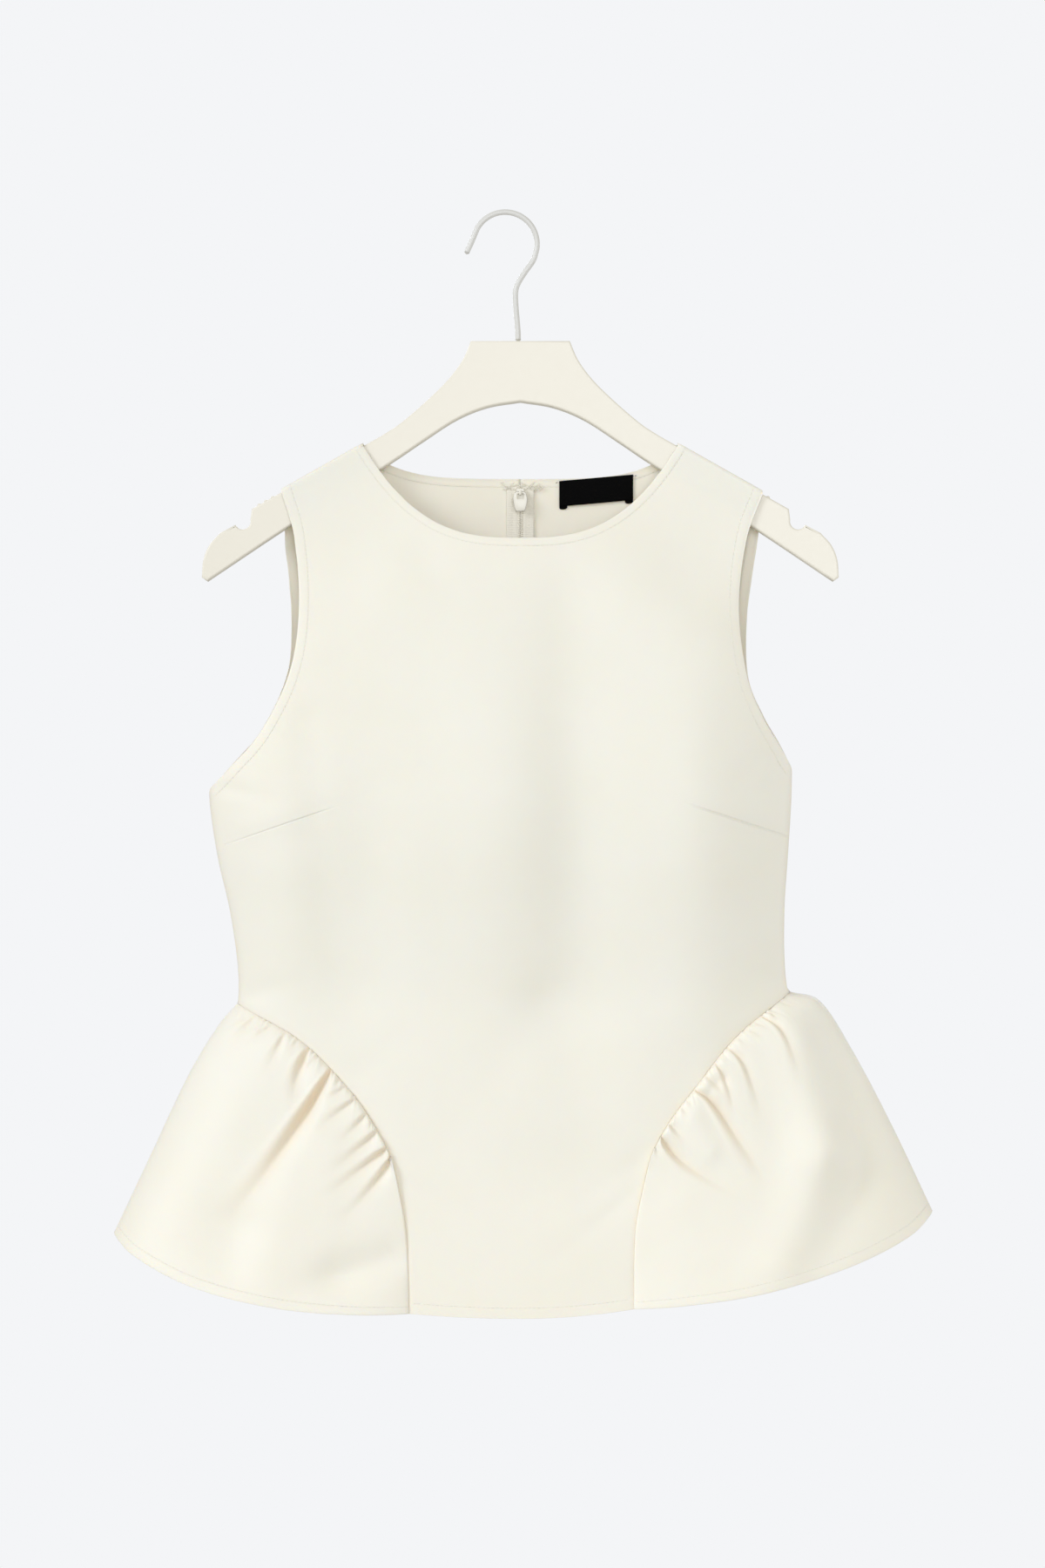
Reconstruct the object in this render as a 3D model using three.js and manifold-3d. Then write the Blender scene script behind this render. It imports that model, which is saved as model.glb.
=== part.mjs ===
// A sleeveless peplum top with a back zip, hanging on a flat hanger.
// Millimetres, +Z up. X runs to the viewer's right and the front of the top faces -Y.
// The origin is under the crown of the hanger's wire hook, where it hangs on a rail or a peg.
// Left and right are the viewer's, facing the front.

import * as THREE from 'three';
import { mergeVertices } from 'three/addons/utils/BufferGeometryUtils.js';
import Module from 'manifold-3d';

const wasm = await Module();
wasm.setup();

// Driving dimensions
const CLOTH = 1.2;
const SEAM_GAP = 0.3;
const MID_X = 10.5;
const HANGER_THICKNESS = 12;
const HANGER_EDGE = 1;
const HANGER_EASE = 1.1;
const SHOULDER_X = 108;
const SHOULDER_Z = -159.8;
const SHOULDER_SLOPE = 0.564;
const SHOULDER_ROUND = 2;
const SHOULDER_FALL = 130;
const RING_POWER = 2.4;
const RING_ROUND = 0.6;
const HEM_CENTRE_Z = -751;
const ZIP_LENGTH = 350;
const ZIP_TAPE_WIDTH = 9.5;
const ZIP_TAPE = 1;
const WIRE_RADIUS = 1.9;
const HOOK_RADIUS = 22;

// The bodice as a tube: at each level, the half widths out to the side seams, and how far the
// cloth stands in front of and behind the hanger's mid plane on the centre line.
const BODY = [
  { z: -150, left: 192, right: 180, front: 12, back: 10 },
  { z: -200, left: 201, right: 183, front: 19, back: 13 },
  { z: -260, left: 207, right: 186, front: 28, back: 16 },
  { z: -340, left: 212, right: 187, front: 39, back: 19 },
  { z: -396, left: 214.5, right: 187, front: 45, back: 21 },
  { z: -440, left: 209, right: 184.5, front: 45, back: 21 },
  { z: -480, left: 200, right: 182, front: 42, back: 20 },
  { z: -520, left: 194.5, right: 182.5, front: 39, back: 19 },
  { z: -545, left: 195, right: 186.5, front: 39, back: 19 },
  { z: -600, left: 206, right: 203, front: 45, back: 23 },
  { z: -680, left: 228, right: 228, front: 54, back: 28 },
  { z: -760, left: 245, right: 245, front: 62, back: 33 },
];

// The seam between the centre panels and the peplums, from the hem up to the waist. The peplum
// is gathered above the row at up 0.5.
const PEPLUM_SEAM = [
  { up: 0, leftX: 75, leftZ: -748, rightX: 76.5, rightZ: -745 },
  { up: 0.24, leftX: 76.5, leftZ: -698, rightX: 77.5, rightZ: -693.5 },
  { up: 0.385, leftX: 81.5, leftZ: -667.5, rightX: 83.5, rightZ: -663 },
  { up: 0.5, leftX: 88, leftZ: -643.5, rightX: 90.5, rightZ: -639.5 },
  { up: 0.578, leftX: 98.5, leftZ: -623.5, rightX: 101.5, rightZ: -620 },
  { up: 0.67, leftX: 114, leftZ: -601.5, rightX: 117.5, rightZ: -599.5 },
  { up: 0.835, leftX: 149.5, leftZ: -567, rightX: 147.5, rightZ: -564 },
  { up: 1, leftX: 195, leftZ: -543, rightX: 186, rightZ: -535 },
];
const GATHER_END = 0.5;

// The armholes, from the underarm up to the shoulder
const FRONT_ARMHOLE = [
  { up: 0, leftX: 214.5, leftZ: -396, rightX: 187, rightZ: -381 },
  { up: 0.13, leftX: 197, leftZ: -379, rightX: 178, rightZ: -366 },
  { up: 0.27, leftX: 177, leftZ: -356, rightX: 166, rightZ: -346 },
  { up: 0.44, leftX: 158, leftZ: -317, rightX: 155, rightZ: -318 },
  { up: 0.63, leftX: 151.5, leftZ: -274, rightX: 149.5, rightZ: -271 },
  { up: 0.84, leftX: 155, leftZ: -222, rightX: 155, rightZ: -222 },
  { up: 1, leftX: 164, leftZ: -190, rightX: 166.5, rightZ: -190 },
];
const BACK_ARMHOLE = [
  { up: 0, leftX: 214.5, leftZ: -396, rightX: 187, rightZ: -381 },
  { up: 0.13, leftX: 203, leftZ: -375, rightX: 182, rightZ: -362 },
  { up: 0.27, leftX: 186, leftZ: -352, rightX: 173, rightZ: -342 },
  { up: 0.44, leftX: 169, leftZ: -315, rightX: 163, rightZ: -315 },
  { up: 0.63, leftX: 162, leftZ: -272, rightX: 158, rightZ: -271 },
  { up: 0.84, leftX: 161, leftZ: -222, rightX: 160, rightZ: -222 },
  { up: 1, leftX: 164, leftZ: -190, rightX: 166.5, rightZ: -190 },
];

// The peplum's side seam, from the waist down to the hem corner
const PEPLUM_SIDE = [
  { down: 0, leftX: 195, leftZ: -543, rightX: 186, rightZ: -535 },
  { down: 0.12, leftX: 208, leftZ: -558, rightX: 206, rightZ: -541 },
  { down: 0.3, leftX: 228, leftZ: -591, rightX: 228, rightZ: -574 },
  { down: 0.6, leftX: 255, leftZ: -648, rightX: 256, rightZ: -627 },
  { down: 1, leftX: 280, leftZ: -701, rightX: 284, rightZ: -686 },
];

// The peplum's hem, from the side corner in to the centre panel. Out is how far the hem stands
// proud of the centre panel's line, towards the front or the back.
const PEPLUM_HEM = [
  { in: 0, leftX: 280, leftZ: -701, rightX: 284, rightZ: -686, out: 0 },
  { in: 0.12, leftX: 262, leftZ: -714, rightX: 265, rightZ: -700, out: 3 },
  { in: 0.3, leftX: 223, leftZ: -731, rightX: 225, rightZ: -717, out: 8 },
  { in: 0.55, leftX: 168, leftZ: -743, rightX: 168, rightZ: -733, out: 12 },
  { in: 0.8, leftX: 115, leftZ: -748, rightX: 116, rightZ: -741.5, out: 8 },
  { in: 1, leftX: 75, leftZ: -748, rightX: 76.5, rightZ: -745, out: 0 },
];

// Broad swells and hollows of the hanging front and back, x from the centre line
const FRONT_FORM = [
  { x: -168, z: -455, wide: 26, tall: 95, out: 4 },
  { x: -112, z: -460, wide: 30, tall: 100, out: -5 },
  { x: -16, z: -430, wide: 38, tall: 130, out: 4 },
  { x: 44, z: -440, wide: 34, tall: 130, out: -5 },
  { x: 140, z: -430, wide: 42, tall: 110, out: 6 },
  { x: -118, z: -255, wide: 22, tall: 50, out: -2 },
  { x: 118, z: -260, wide: 24, tall: 50, out: -2 },
  { x: 40, z: -655, wide: 60, tall: 30, out: -2.5 },
];
const BACK_FORM = [
  { x: -120, z: -440, wide: 34, tall: 110, out: -3 },
  { x: 118, z: -450, wide: 34, tall: 110, out: -3 },
  { x: -60, z: -500, wide: 30, tall: 120, out: 2 },
  { x: 64, z: -480, wide: 30, tall: 120, out: 2 },
];

// Gathers: each row is one crease that runs down from the seam. At is its place along the
// gathered seam from the side seam, wide its half width there, deep its depth, long the share of
// the peplum's height it runs down, and lean how far it leans as it runs.
const LEFT_GATHERS = [
  { at: 0.105, wide: 2.8, deep: 2.2, long: 0.18, lean: -0.1 },
  { at: 0.19, wide: 2.4, deep: 2, long: 0.13, lean: -0.35 },
  { at: 0.255, wide: 2.4, deep: 2.4, long: 0.18, lean: 0.1 },
  { at: 0.38, wide: 3.6, deep: 4.2, long: 0.42, lean: -0.02 },
  { at: 0.425, wide: 2, deep: 1.6, long: 0.13, lean: -0.1 },
  { at: 0.522, wide: 4, deep: 7, long: 0.95, lean: -0.285 },
  { at: 0.62, wide: 2.4, deep: 2.2, long: 0.16, lean: -0.6 },
  { at: 0.69, wide: 2.8, deep: 2.8, long: 0.3, lean: -0.58 },
  { at: 0.77, wide: 2.6, deep: 2.8, long: 0.26, lean: -0.48 },
  { at: 0.865, wide: 3, deep: 3.6, long: 0.42, lean: -0.6 },
  { at: 0.95, wide: 2.6, deep: 3.6, long: 0.5, lean: -0.64 },
  { at: 0.985, wide: 2.6, deep: 4, long: 0.55, lean: -0.5 },
];
const RIGHT_GATHERS = [
  { at: 0.138, wide: 2.2, deep: 1.6, long: 0.1, lean: 0.4 },
  { at: 0.185, wide: 2.6, deep: 3.4, long: 0.3, lean: 0.25 },
  { at: 0.262, wide: 2.4, deep: 1.6, long: 0.12, lean: 0 },
  { at: 0.4, wide: 2.8, deep: 3.2, long: 0.32, lean: 0.04 },
  { at: 0.495, wide: 2.6, deep: 2.8, long: 0.28, lean: 0.08 },
  { at: 0.657, wide: 3.6, deep: 5, long: 0.55, lean: -0.4 },
  { at: 0.76, wide: 2.4, deep: 1.6, long: 0.14, lean: -0.4 },
  { at: 0.855, wide: 2.6, deep: 2.8, long: 0.26, lean: -0.5 },
  { at: 0.925, wide: 3.4, deep: 5, long: 0.6, lean: -0.55 },
];
const BACK_GATHERS = [
  { at: 0.12, wide: 2.8, deep: 2.2, long: 0.18, lean: -0.2 },
  { at: 0.25, wide: 3, deep: 3, long: 0.3, lean: -0.2 },
  { at: 0.38, wide: 3.2, deep: 3.4, long: 0.36, lean: -0.2 },
  { at: 0.52, wide: 3.8, deep: 5.5, long: 0.75, lean: -0.28 },
  { at: 0.67, wide: 3, deep: 3, long: 0.34, lean: -0.36 },
  { at: 0.8, wide: 3, deep: 3.4, long: 0.4, lean: -0.45 },
  { at: 0.95, wide: 3.4, deep: 4.4, long: 0.45, lean: -0.62 },
];
const GATHER_SPAN = 155;
const GATHER_FAN = 75;
const GATHER_RISE = 0.025;
const PUFF = 5;

// Levels of the bodice grid: shares of the way up from the hem
const UP_WAIST = 0.37;
const UP_UNDERARM = 0.65;
const ACROSS_NECK = 0.66;
const TOP_SHAPE_FROM = 0.62;
const CENTRE_LEVELS = [
  { up: 0, z: HEM_CENTRE_Z },
  { up: UP_WAIST, z: -556 },
  { up: UP_UNDERARM, z: -408 },
];

const FRONT = {
  sign: -1,
  depth: 'front',
  armhole: FRONT_ARMHOLE,
  neckZ: -224,
  neckPower: 2.8,
  form: FRONT_FORM,
};
const BACK = {
  sign: 1,
  depth: 'back',
  armhole: BACK_ARMHOLE,
  neckZ: -181,
  neckPower: 4.4,
  form: BACK_FORM,
};

// The cloth's middle lies this far from the hanger's mid plane where the hanger holds it
const HOLD = HANGER_THICKNESS / 2 + HANGER_EASE + CLOTH / 2;
const SHOULDER_LIFT = (HANGER_EASE + CLOTH / 2) * Math.hypot(1, SHOULDER_SLOPE);
const SHOULDER_WRAP = (Math.PI / 2 - 1) * SHOULDER_ROUND + HOLD - SEAM_GAP / 2;

const ease = (t) => {
  const s = Math.min(1, Math.max(0, t));
  return s * s * (3 - 2 * s);
};
const bell = (t) => Math.exp(-t * t);
const mix = (a, b, t) => a + (b - a) * t;

// A smooth curve through one column of a table, read at a value of its key column
function read(rows, key, column, at) {
  const rising = rows[rows.length - 1][key] > rows[0][key];
  const points = rows.map((row) => [row[key], row[column]]);
  if (!rising) points.reverse();
  const last = points.length - 1;
  const clamped = Math.min(points[last][0], Math.max(points[0][0], at));
  let i = 0;
  while (i < last - 1 && clamped > points[i + 1][0]) i += 1;
  const slope = (k) => {
    const low = Math.max(0, k - 1);
    const high = Math.min(last, k + 1);
    return (points[high][1] - points[low][1]) / (points[high][0] - points[low][0]);
  };
  const step = points[i + 1][0] - points[i][0];
  const t = (clamped - points[i][0]) / step;
  const t2 = t * t;
  const t3 = t2 * t;
  return (2 * t3 - 3 * t2 + 1) * points[i][1] + (t3 - 2 * t2 + t) * step * slope(i)
    + (3 * t2 - 2 * t3) * points[i + 1][1] + (t3 - t2) * step * slope(i + 1);
}

// The hanger's straight shoulder edge, and the line where the cloth starts to turn over it
const shoulderEdge = (x) => SHOULDER_Z - (Math.abs(x) - SHOULDER_X) * SHOULDER_SLOPE;
const shoulderCorner = (x) => shoulderEdge(x) + SHOULDER_LIFT - SHOULDER_ROUND;

// How far the cloth stands off the mid plane at x from the centre line and height z
function standOff(face, x, z) {
  const width = read(BODY, 'z', x < 0 ? 'left' : 'right', z);
  const share = Math.min(1, Math.abs(x) / width);
  const ring = (1 - share ** RING_POWER) ** RING_ROUND;
  let out = read(BODY, 'z', face.depth, z);
  for (const form of face.form) {
    out += form.out * bell((x - form.x) / form.wide) * bell((z - form.z) / form.tall);
  }
  const settle = ease((shoulderCorner(x) - z) / SHOULDER_FALL);
  return mix(HOLD, out * ring, settle);
}

// A point of the pattern, x from the centre line and height up the cloth, laid on the tube and
// over the hanger's shoulder
function drape(face, x, height) {
  const past = height - shoulderCorner(x);
  const round = (Math.PI / 2) * SHOULDER_ROUND;
  let off = 0;
  let z = height;
  if (past <= 0) {
    off = standOff(face, x, height);
  } else if (past < round) {
    off = HOLD - SHOULDER_ROUND * (1 - Math.cos(past / SHOULDER_ROUND));
    z = shoulderCorner(x) + SHOULDER_ROUND * Math.sin(past / SHOULDER_ROUND);
  } else {
    off = HOLD - SHOULDER_ROUND - (past - round);
    z = shoulderCorner(x) + SHOULDER_ROUND;
  }
  return new THREE.Vector3(MID_X + x, face.sign * Math.max(off, SEAM_GAP / 2), z);
}

const SIDES = {
  left: { sign: -1, x: 'leftX', z: 'leftZ', width: 'left' },
  right: { sign: 1, x: 'rightX', z: 'rightZ', width: 'right' },
};

// The outer edge of half a centre panel, as half width and height
function panelEdge(face, side, up) {
  if (up <= UP_WAIST) {
    const share = up / UP_WAIST;
    return [read(PEPLUM_SEAM, 'up', side.x, share), read(PEPLUM_SEAM, 'up', side.z, share)];
  }
  if (up <= UP_UNDERARM) {
    const share = (up - UP_WAIST) / (UP_UNDERARM - UP_WAIST);
    const waist = PEPLUM_SEAM[PEPLUM_SEAM.length - 1][side.z];
    const z = mix(waist, face.armhole[0][side.z], share);
    return [read(BODY, 'z', side.width, z), z];
  }
  const share = (up - UP_UNDERARM) / (1 - UP_UNDERARM);
  return [read(face.armhole, 'up', side.x, share), read(face.armhole, 'up', side.z, share)];
}

function centreHeight(face, up) {
  if (up >= UP_UNDERARM) {
    const share = (up - UP_UNDERARM) / (1 - UP_UNDERARM);
    return mix(CENTRE_LEVELS[2].z, face.neckZ, share);
  }
  const below = up < UP_WAIST ? 0 : 1;
  const low = CENTRE_LEVELS[below];
  const high = CENTRE_LEVELS[below + 1];
  return mix(low.z, high.z, (up - low.up) / (high.up - low.up));
}

// The neckline, then the line where the cloth turns over the hanger
function panelTop(face, side, across) {
  if (across <= ACROSS_NECK) {
    const share = across / ACROSS_NECK;
    const x = mix(share, Math.sin((share * Math.PI) / 2), 0.6);
    const climb = (shoulderCorner(SHOULDER_X) - face.neckZ) * x ** face.neckPower;
    return [SHOULDER_X * x, face.neckZ + climb];
  }
  const share = (across - ACROSS_NECK) / (1 - ACROSS_NECK);
  const x = mix(SHOULDER_X, face.armhole[face.armhole.length - 1][side.x], share);
  return [x, shoulderCorner(x)];
}

// Half a centre panel's pattern, filled in between its four edges: across from the centre line
// to the outer edge, up from the hem to the neckline and shoulder
function panelPattern(face, side, across, up) {
  const outer = panelEdge(face, side, up);
  const top = panelTop(face, side, across);
  const hemEnd = panelEdge(face, side, 0);
  const tip = panelEdge(face, side, 1);
  const shaped = ease((up - TOP_SHAPE_FROM) / (1 - TOP_SHAPE_FROM));
  const hemSag = (hemEnd[1] - HEM_CENTRE_Z) * (across * across - across) * (1 - up);
  const x = across * outer[0] + shaped * (top[0] - across * tip[0]);
  const z = mix(centreHeight(face, up), outer[1], across) + hemSag
    + shaped * (top[1] - mix(face.neckZ, tip[1], across));
  return [side.sign * x, z];
}

// A point on the middle of a centre panel's cloth. Across runs from -1 at the left edge to 1. Up
// runs from 0 at the hem to 1 at the neckline and the hanger's shoulder, then to 2 at the shoulder
// seam on top of the hanger
function panelPoint(face, across, up) {
  const side = across < 0 ? SIDES.left : SIDES.right;
  const [x, height] = panelPattern(face, side, Math.abs(across), Math.min(up, 1));
  return drape(face, x, height + Math.max(0, up - 1) * SHOULDER_WRAP);
}

// The direction out of the cloth at a point of a surface
function outward(surface, u, v, flip) {
  const step = 1e-3;
  const du = surface(Math.min(u + step, surface.uMax), v)
    .sub(surface(Math.max(u - step, surface.uMin), v));
  const dv = surface(u, Math.min(v + step, surface.vMax)).sub(surface(u, Math.max(v - step, 0)));
  return du.cross(dv).normalize().multiplyScalar(flip);
}

// A surface over a range of u, with v from 0 to its greatest value
const over = (uMin, uMax, vMax, point) => Object.assign(point, { uMin, uMax, vMax });

// The outer and inner face of a cloth at a point of its middle
function faces(point, out, thickness) {
  return {
    outer: point.clone().addScaledVector(out, thickness / 2),
    inner: point.clone().addScaledVector(out, -thickness / 2),
  };
}

// Keeps a place on its own side of the plane that the shoulder and side seams lie in
function keepSide(face, place) {
  for (const p of [place.outer, place.inner]) {
    p.y = face.sign * Math.max(face.sign * p.y, SEAM_GAP / 2);
  }
  return place;
}

// A wall of cloth between a grid of places on its outer and inner face. A grid can have gaps in
// it, where a place is null
function clothWall(places) {
  const columns = places[0].length;
  const flat = places.flat();
  const position = [];
  const index = [];
  for (const layer of ['outer', 'inner']) {
    for (const place of flat) position.push(...(place ? place[layer].toArray() : [0, 0, 0]));
  }
  const inside = (corner) => corner + flat.length;
  const quad = (a, b, c, d) => index.push(a, b, c, a, c, d);
  const corners = (r, c) => [[r, c], [r, c + 1], [r + 1, c + 1], [r + 1, c]];
  const present = (r, c) => corners(r, c).every(([i, j]) => places[i]?.[j]);
  for (let r = 0; r + 1 < places.length; r += 1) {
    for (let c = 0; c + 1 < columns; c += 1) {
      if (present(r, c)) {
        const [p, q, s, t] = corners(r, c).map(([i, j]) => i * columns + j);
        quad(p, q, s, t);
        quad(inside(t), inside(s), inside(q), inside(p));
        if (!present(r - 1, c)) quad(inside(p), inside(q), q, p);
        if (!present(r + 1, c)) quad(inside(s), inside(t), t, s);
        if (!present(r, c - 1)) quad(inside(t), inside(p), p, t);
        if (!present(r, c + 1)) quad(inside(q), inside(s), s, q);
      }
    }
  }
  const geometry = new THREE.BufferGeometry();
  geometry.setAttribute('position', new THREE.Float32BufferAttribute(position, 3));
  geometry.setIndex(index);
  return facingOut(geometry);
}

// Turns a closed geometry's faces round if they point in
function facingOut(geometry) {
  const p = geometry.getAttribute('position');
  const index = geometry.getIndex();
  const [a, b, c] = [new THREE.Vector3(), new THREE.Vector3(), new THREE.Vector3()];
  let volume = 0;
  for (let i = 0; i < index.count; i += 3) {
    a.fromBufferAttribute(p, index.getX(i));
    b.fromBufferAttribute(p, index.getX(i + 1));
    c.fromBufferAttribute(p, index.getX(i + 2));
    volume += a.dot(b.cross(c));
  }
  if (volume < 0) {
    const turned = Array.from(index.array);
    for (let i = 0; i < turned.length; i += 3) [turned[i], turned[i + 1]] = [turned[i + 1], turned[i]];
    geometry.setIndex(turned);
  }
  return geometry;
}

const PANEL_ACROSS = [0, 0.15, 0.3, 0.44, 0.56, ACROSS_NECK, 0.76, 0.85, 0.92, 0.97, 1];
const SEAM_SHARES = [0, 0.12, 0.26, 0.4, 0.5, 0.57, 0.66, 0.77, 0.87, 0.95, 1];
const BODICE_ROWS = [0.46, 0.555, UP_UNDERARM, 0.7, 0.76, 0.82, 0.88, 0.935, 0.975, 1];
const OVER_HANGER_ROWS = [1.12, 1.25, 1.37, 1.65, 2];
const PANEL_ROWS = [...SEAM_SHARES.map((share) => share * UP_WAIST), ...BODICE_ROWS, ...OVER_HANGER_ROWS];

// A centre panel's wall over a row of columns. The rows over the hanger leave the neck open
function centrePanel(face, surface, columns, flip) {
  return clothWall(PANEL_ROWS.map((up) => columns.map((u) => {
    if (up > 1 && Math.abs(u) < ACROSS_NECK) return null;
    return keepSide(face, faces(surface(u, up), outward(surface, u, up, flip), CLOTH));
  })));
}

function frontPanel() {
  const columns = [...PANEL_ACROSS.slice(1).reverse().map((u) => -u), ...PANEL_ACROSS];
  return centrePanel(FRONT, over(-1, 1, 2, (u, v) => panelPoint(FRONT, u, v)), columns, -FRONT.sign);
}

// Half of the back, from the zip to the side
function backPanel(side) {
  const surface = over(0, 1, 2, (u, v) => {
    const p = panelPoint(BACK, side.sign * u, v);
    p.x += side.sign * (SEAM_GAP / 2) * (1 - u);
    return p;
  });
  return centrePanel(BACK, surface, PANEL_ACROSS, -side.sign);
}

// The edge that a centre panel turns to its peplum: its two faces, and the way on from it towards
// the peplum, at each row of the panel's grid
function panelSeam(face, side) {
  const surface = over(0, 1, 2, (u, v) => panelPoint(face, side.sign * u, v));
  const spots = SEAM_SHARES.map((share) => {
    const point = surface(1, share * UP_WAIST);
    const out = outward(surface, 1, share * UP_WAIST, -face.sign * side.sign);
    return { share, point, out, ...keepSide(face, faces(point, out, CLOTH)) };
  });
  spots.forEach((spot, i) => {
    const low = spots[Math.max(0, i - 1)].point;
    const high = spots[Math.min(spots.length - 1, i + 1)].point;
    const along = high.clone().sub(low).normalize();
    spot.beyond = along.cross(spot.out).multiplyScalar(-face.sign * side.sign).normalize();
  });
  return spots;
}

// A place along that edge, moved off it by the seam's gap
function seamPlace(seam, share) {
  let i = 0;
  while (i < seam.length - 2 && share > seam[i + 1].share) i += 1;
  const t = (share - seam[i].share) / (seam[i + 1].share - seam[i].share);
  const between = (key) => seam[i][key].clone().lerp(seam[i + 1][key], t);
  const off = between('beyond').setLength(SEAM_GAP);
  return { outer: between('outer').add(off), inner: between('inner').add(off) };
}

// The smooth form of a peplum, before its gathers: across from the side seam in to the centre
// panel, down from the gathered seam to the hem
function peplumForm(face, side, seam, across, down) {
  const middle = ({ outer, inner }) => outer.lerp(inner, 0.5);
  const gathered = (u) => middle(seamPlace(seam, mix(1, GATHER_END, u)));
  const plain = (v) => middle(seamPlace(seam, mix(GATHER_END, 0, v)));
  const sideSeam = (v) => new THREE.Vector3(
    MID_X + side.sign * read(PEPLUM_SIDE, 'down', side.x, v),
    0,
    read(PEPLUM_SIDE, 'down', side.z, v) - SEAM_GAP,
  );
  const inner = plain(1);
  const hem = (u) => {
    const ring = (1 - (1 - u) ** RING_POWER) ** RING_ROUND;
    return new THREE.Vector3(
      mix(MID_X + side.sign * read(PEPLUM_HEM, 'in', side.x, u), inner.x, u ** 8),
      face.sign * (Math.abs(inner.y) * ring + read(PEPLUM_HEM, 'in', 'out', u)),
      mix(read(PEPLUM_HEM, 'in', side.z, u), inner.z, u ** 8),
    );
  };
  const corners = [
    [gathered(0), (1 - across) * (1 - down)],
    [gathered(1), across * (1 - down)],
    [hem(0), (1 - across) * down],
    [inner, across * down],
  ];
  const p = new THREE.Vector3()
    .addScaledVector(gathered(across), 1 - down)
    .addScaledVector(hem(across), down)
    .addScaledVector(sideSeam(down), 1 - across)
    .addScaledVector(plain(down), across);
  for (const [corner, weight] of corners) p.addScaledVector(corner, -weight);
  p.y = face.sign * Math.max(face.sign * p.y, SEAM_GAP / 2);
  return p;
}

// How far a peplum's cloth lies out of its smooth form: a puff under the seam, cut by creases
function gatherHeight(gathers, across, down) {
  const rise = 1 - Math.exp(-down / GATHER_RISE);
  const edge = ease(across / 0.3) * ease((1 - across) / 0.03);
  const span = GATHER_SPAN + GATHER_FAN * down;
  let height = PUFF * edge * (1 - down) ** 2;
  for (const crease of gathers) {
    const off = (across - crease.at - crease.lean * down) * span;
    const wide = crease.wide * (1 + (2.2 * down) / crease.long);
    height -= crease.deep * bell(off / wide) * (1 - ease(down / crease.long)) * edge;
  }
  return rise * height;
}

const PEPLUM_DOWN = [0, 0.018, 0.045, 0.09, 0.15, 0.22, 0.3, 0.43, 0.6, 0.84, 1];

// The places across that a peplum's grid needs: each crease, its two flanks and the swell
// between it and the next
function peplumColumns(gathers) {
  const columns = new Set([0.02, 0.055, 0.985]);
  gathers.forEach((crease, i) => {
    const flank = crease.wide / GATHER_SPAN;
    const next = i + 1 < gathers.length ? gathers[i + 1].at : 1;
    columns.add(crease.at - flank);
    columns.add(crease.at);
    columns.add(Math.min(crease.at + flank, 0.98));
    if (next - crease.at > 3 * flank) columns.add((crease.at + next) / 2);
  });
  const fixed = SEAM_SHARES.filter((share) => share >= GATHER_END)
    .map((share) => (1 - share) / (1 - GATHER_END));
  const free = [...columns].filter((u) => fixed.every((f) => Math.abs(f - u) > 0.008));
  return [...fixed, ...free].sort((a, b) => a - b);
}

function peplum(face, side, gathers) {
  const seam = panelSeam(face, side);
  const form = over(0, 1, 1, (u, v) => peplumForm(face, side, seam, u, v));
  const flip = face.sign * side.sign;
  const surface = over(0, 1, 1, (u, v) => {
    const lift = gatherHeight(gathers, u, v);
    return form(u, v).addScaledVector(outward(form, u, Math.max(v, 0.002), -flip), lift);
  });
  const columns = peplumColumns(gathers);
  return clothWall(PEPLUM_DOWN.map((v) => columns.map((u) => {
    const sewn = v === 0 || u === 1;
    const place = sewn
      ? seamPlace(seam, v > 0 ? mix(GATHER_END, 0, v) : mix(1, GATHER_END, u))
      : faces(surface(u, v), outward(surface, u, v, -flip), CLOTH);
    return keepSide(face, place);
  })));
}

// Pieces that lie inside the back are made from its points, moved in
function insideBack(x, height, off) {
  const p = drape(BACK, x, height);
  const surface = (u, v) => drape(BACK, x + u, height + v);
  const du = surface(1, 0).sub(surface(-1, 0));
  const dv = surface(0, 1).sub(surface(0, -1));
  return p.addScaledVector(du.cross(dv).normalize(), off);
}

function backStrip(xFrom, xTo, columns, zTop, zBottom, rows, thickness) {
  const off = CLOTH / 2 + SEAM_GAP + thickness / 2;
  return clothWall(Array.from({ length: rows + 1 }, (_, r) => (
    Array.from({ length: columns + 1 }, (__, c) => {
      const x = mix(xFrom, xTo, c / columns);
      const z = mix(zTop(x), zBottom(x), r / rows);
      const point = insideBack(x, z, off);
      return faces(point, insideBack(x, z, 0).sub(point).normalize(), thickness);
    }))));
}

const ZIP_TOP = BACK.neckZ - 5;
function zipTape(side) {
  const edge = SEAM_GAP / 2;
  const top = () => ZIP_TOP;
  const bottom = () => ZIP_TOP - ZIP_LENGTH;
  return backStrip(side.sign * edge, side.sign * ZIP_TAPE_WIDTH, 2, top, bottom, 14, ZIP_TAPE);
}

// A small woven label, its top edge just under the back neckline
const LABEL = { from: 27, to: 78, top: -182.5, tall: 17.5, rise: 0.085 };
function neckLabel() {
  const top = (x) => LABEL.top + (x - LABEL.from) * LABEL.rise;
  return backStrip(LABEL.from, LABEL.to, 6, top, (x) => top(x) - LABEL.tall, 3, 1);
}

// Solids that need a cut or a join go through the boolean library and back
function solid(geometry, matrix) {
  const bare = geometry.index ? geometry.clone() : mergeVertices(geometry.clone());
  bare.deleteAttribute('normal');
  bare.deleteAttribute('uv');
  const merged = mergeVertices(bare, 1e-4);
  if (matrix) merged.applyMatrix4(matrix);
  return new wasm.Manifold(new wasm.Mesh({
    numProp: 3,
    vertProperties: new Float32Array(merged.getAttribute('position').array),
    triVerts: new Uint32Array(merged.getIndex().array),
  }));
}

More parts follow.
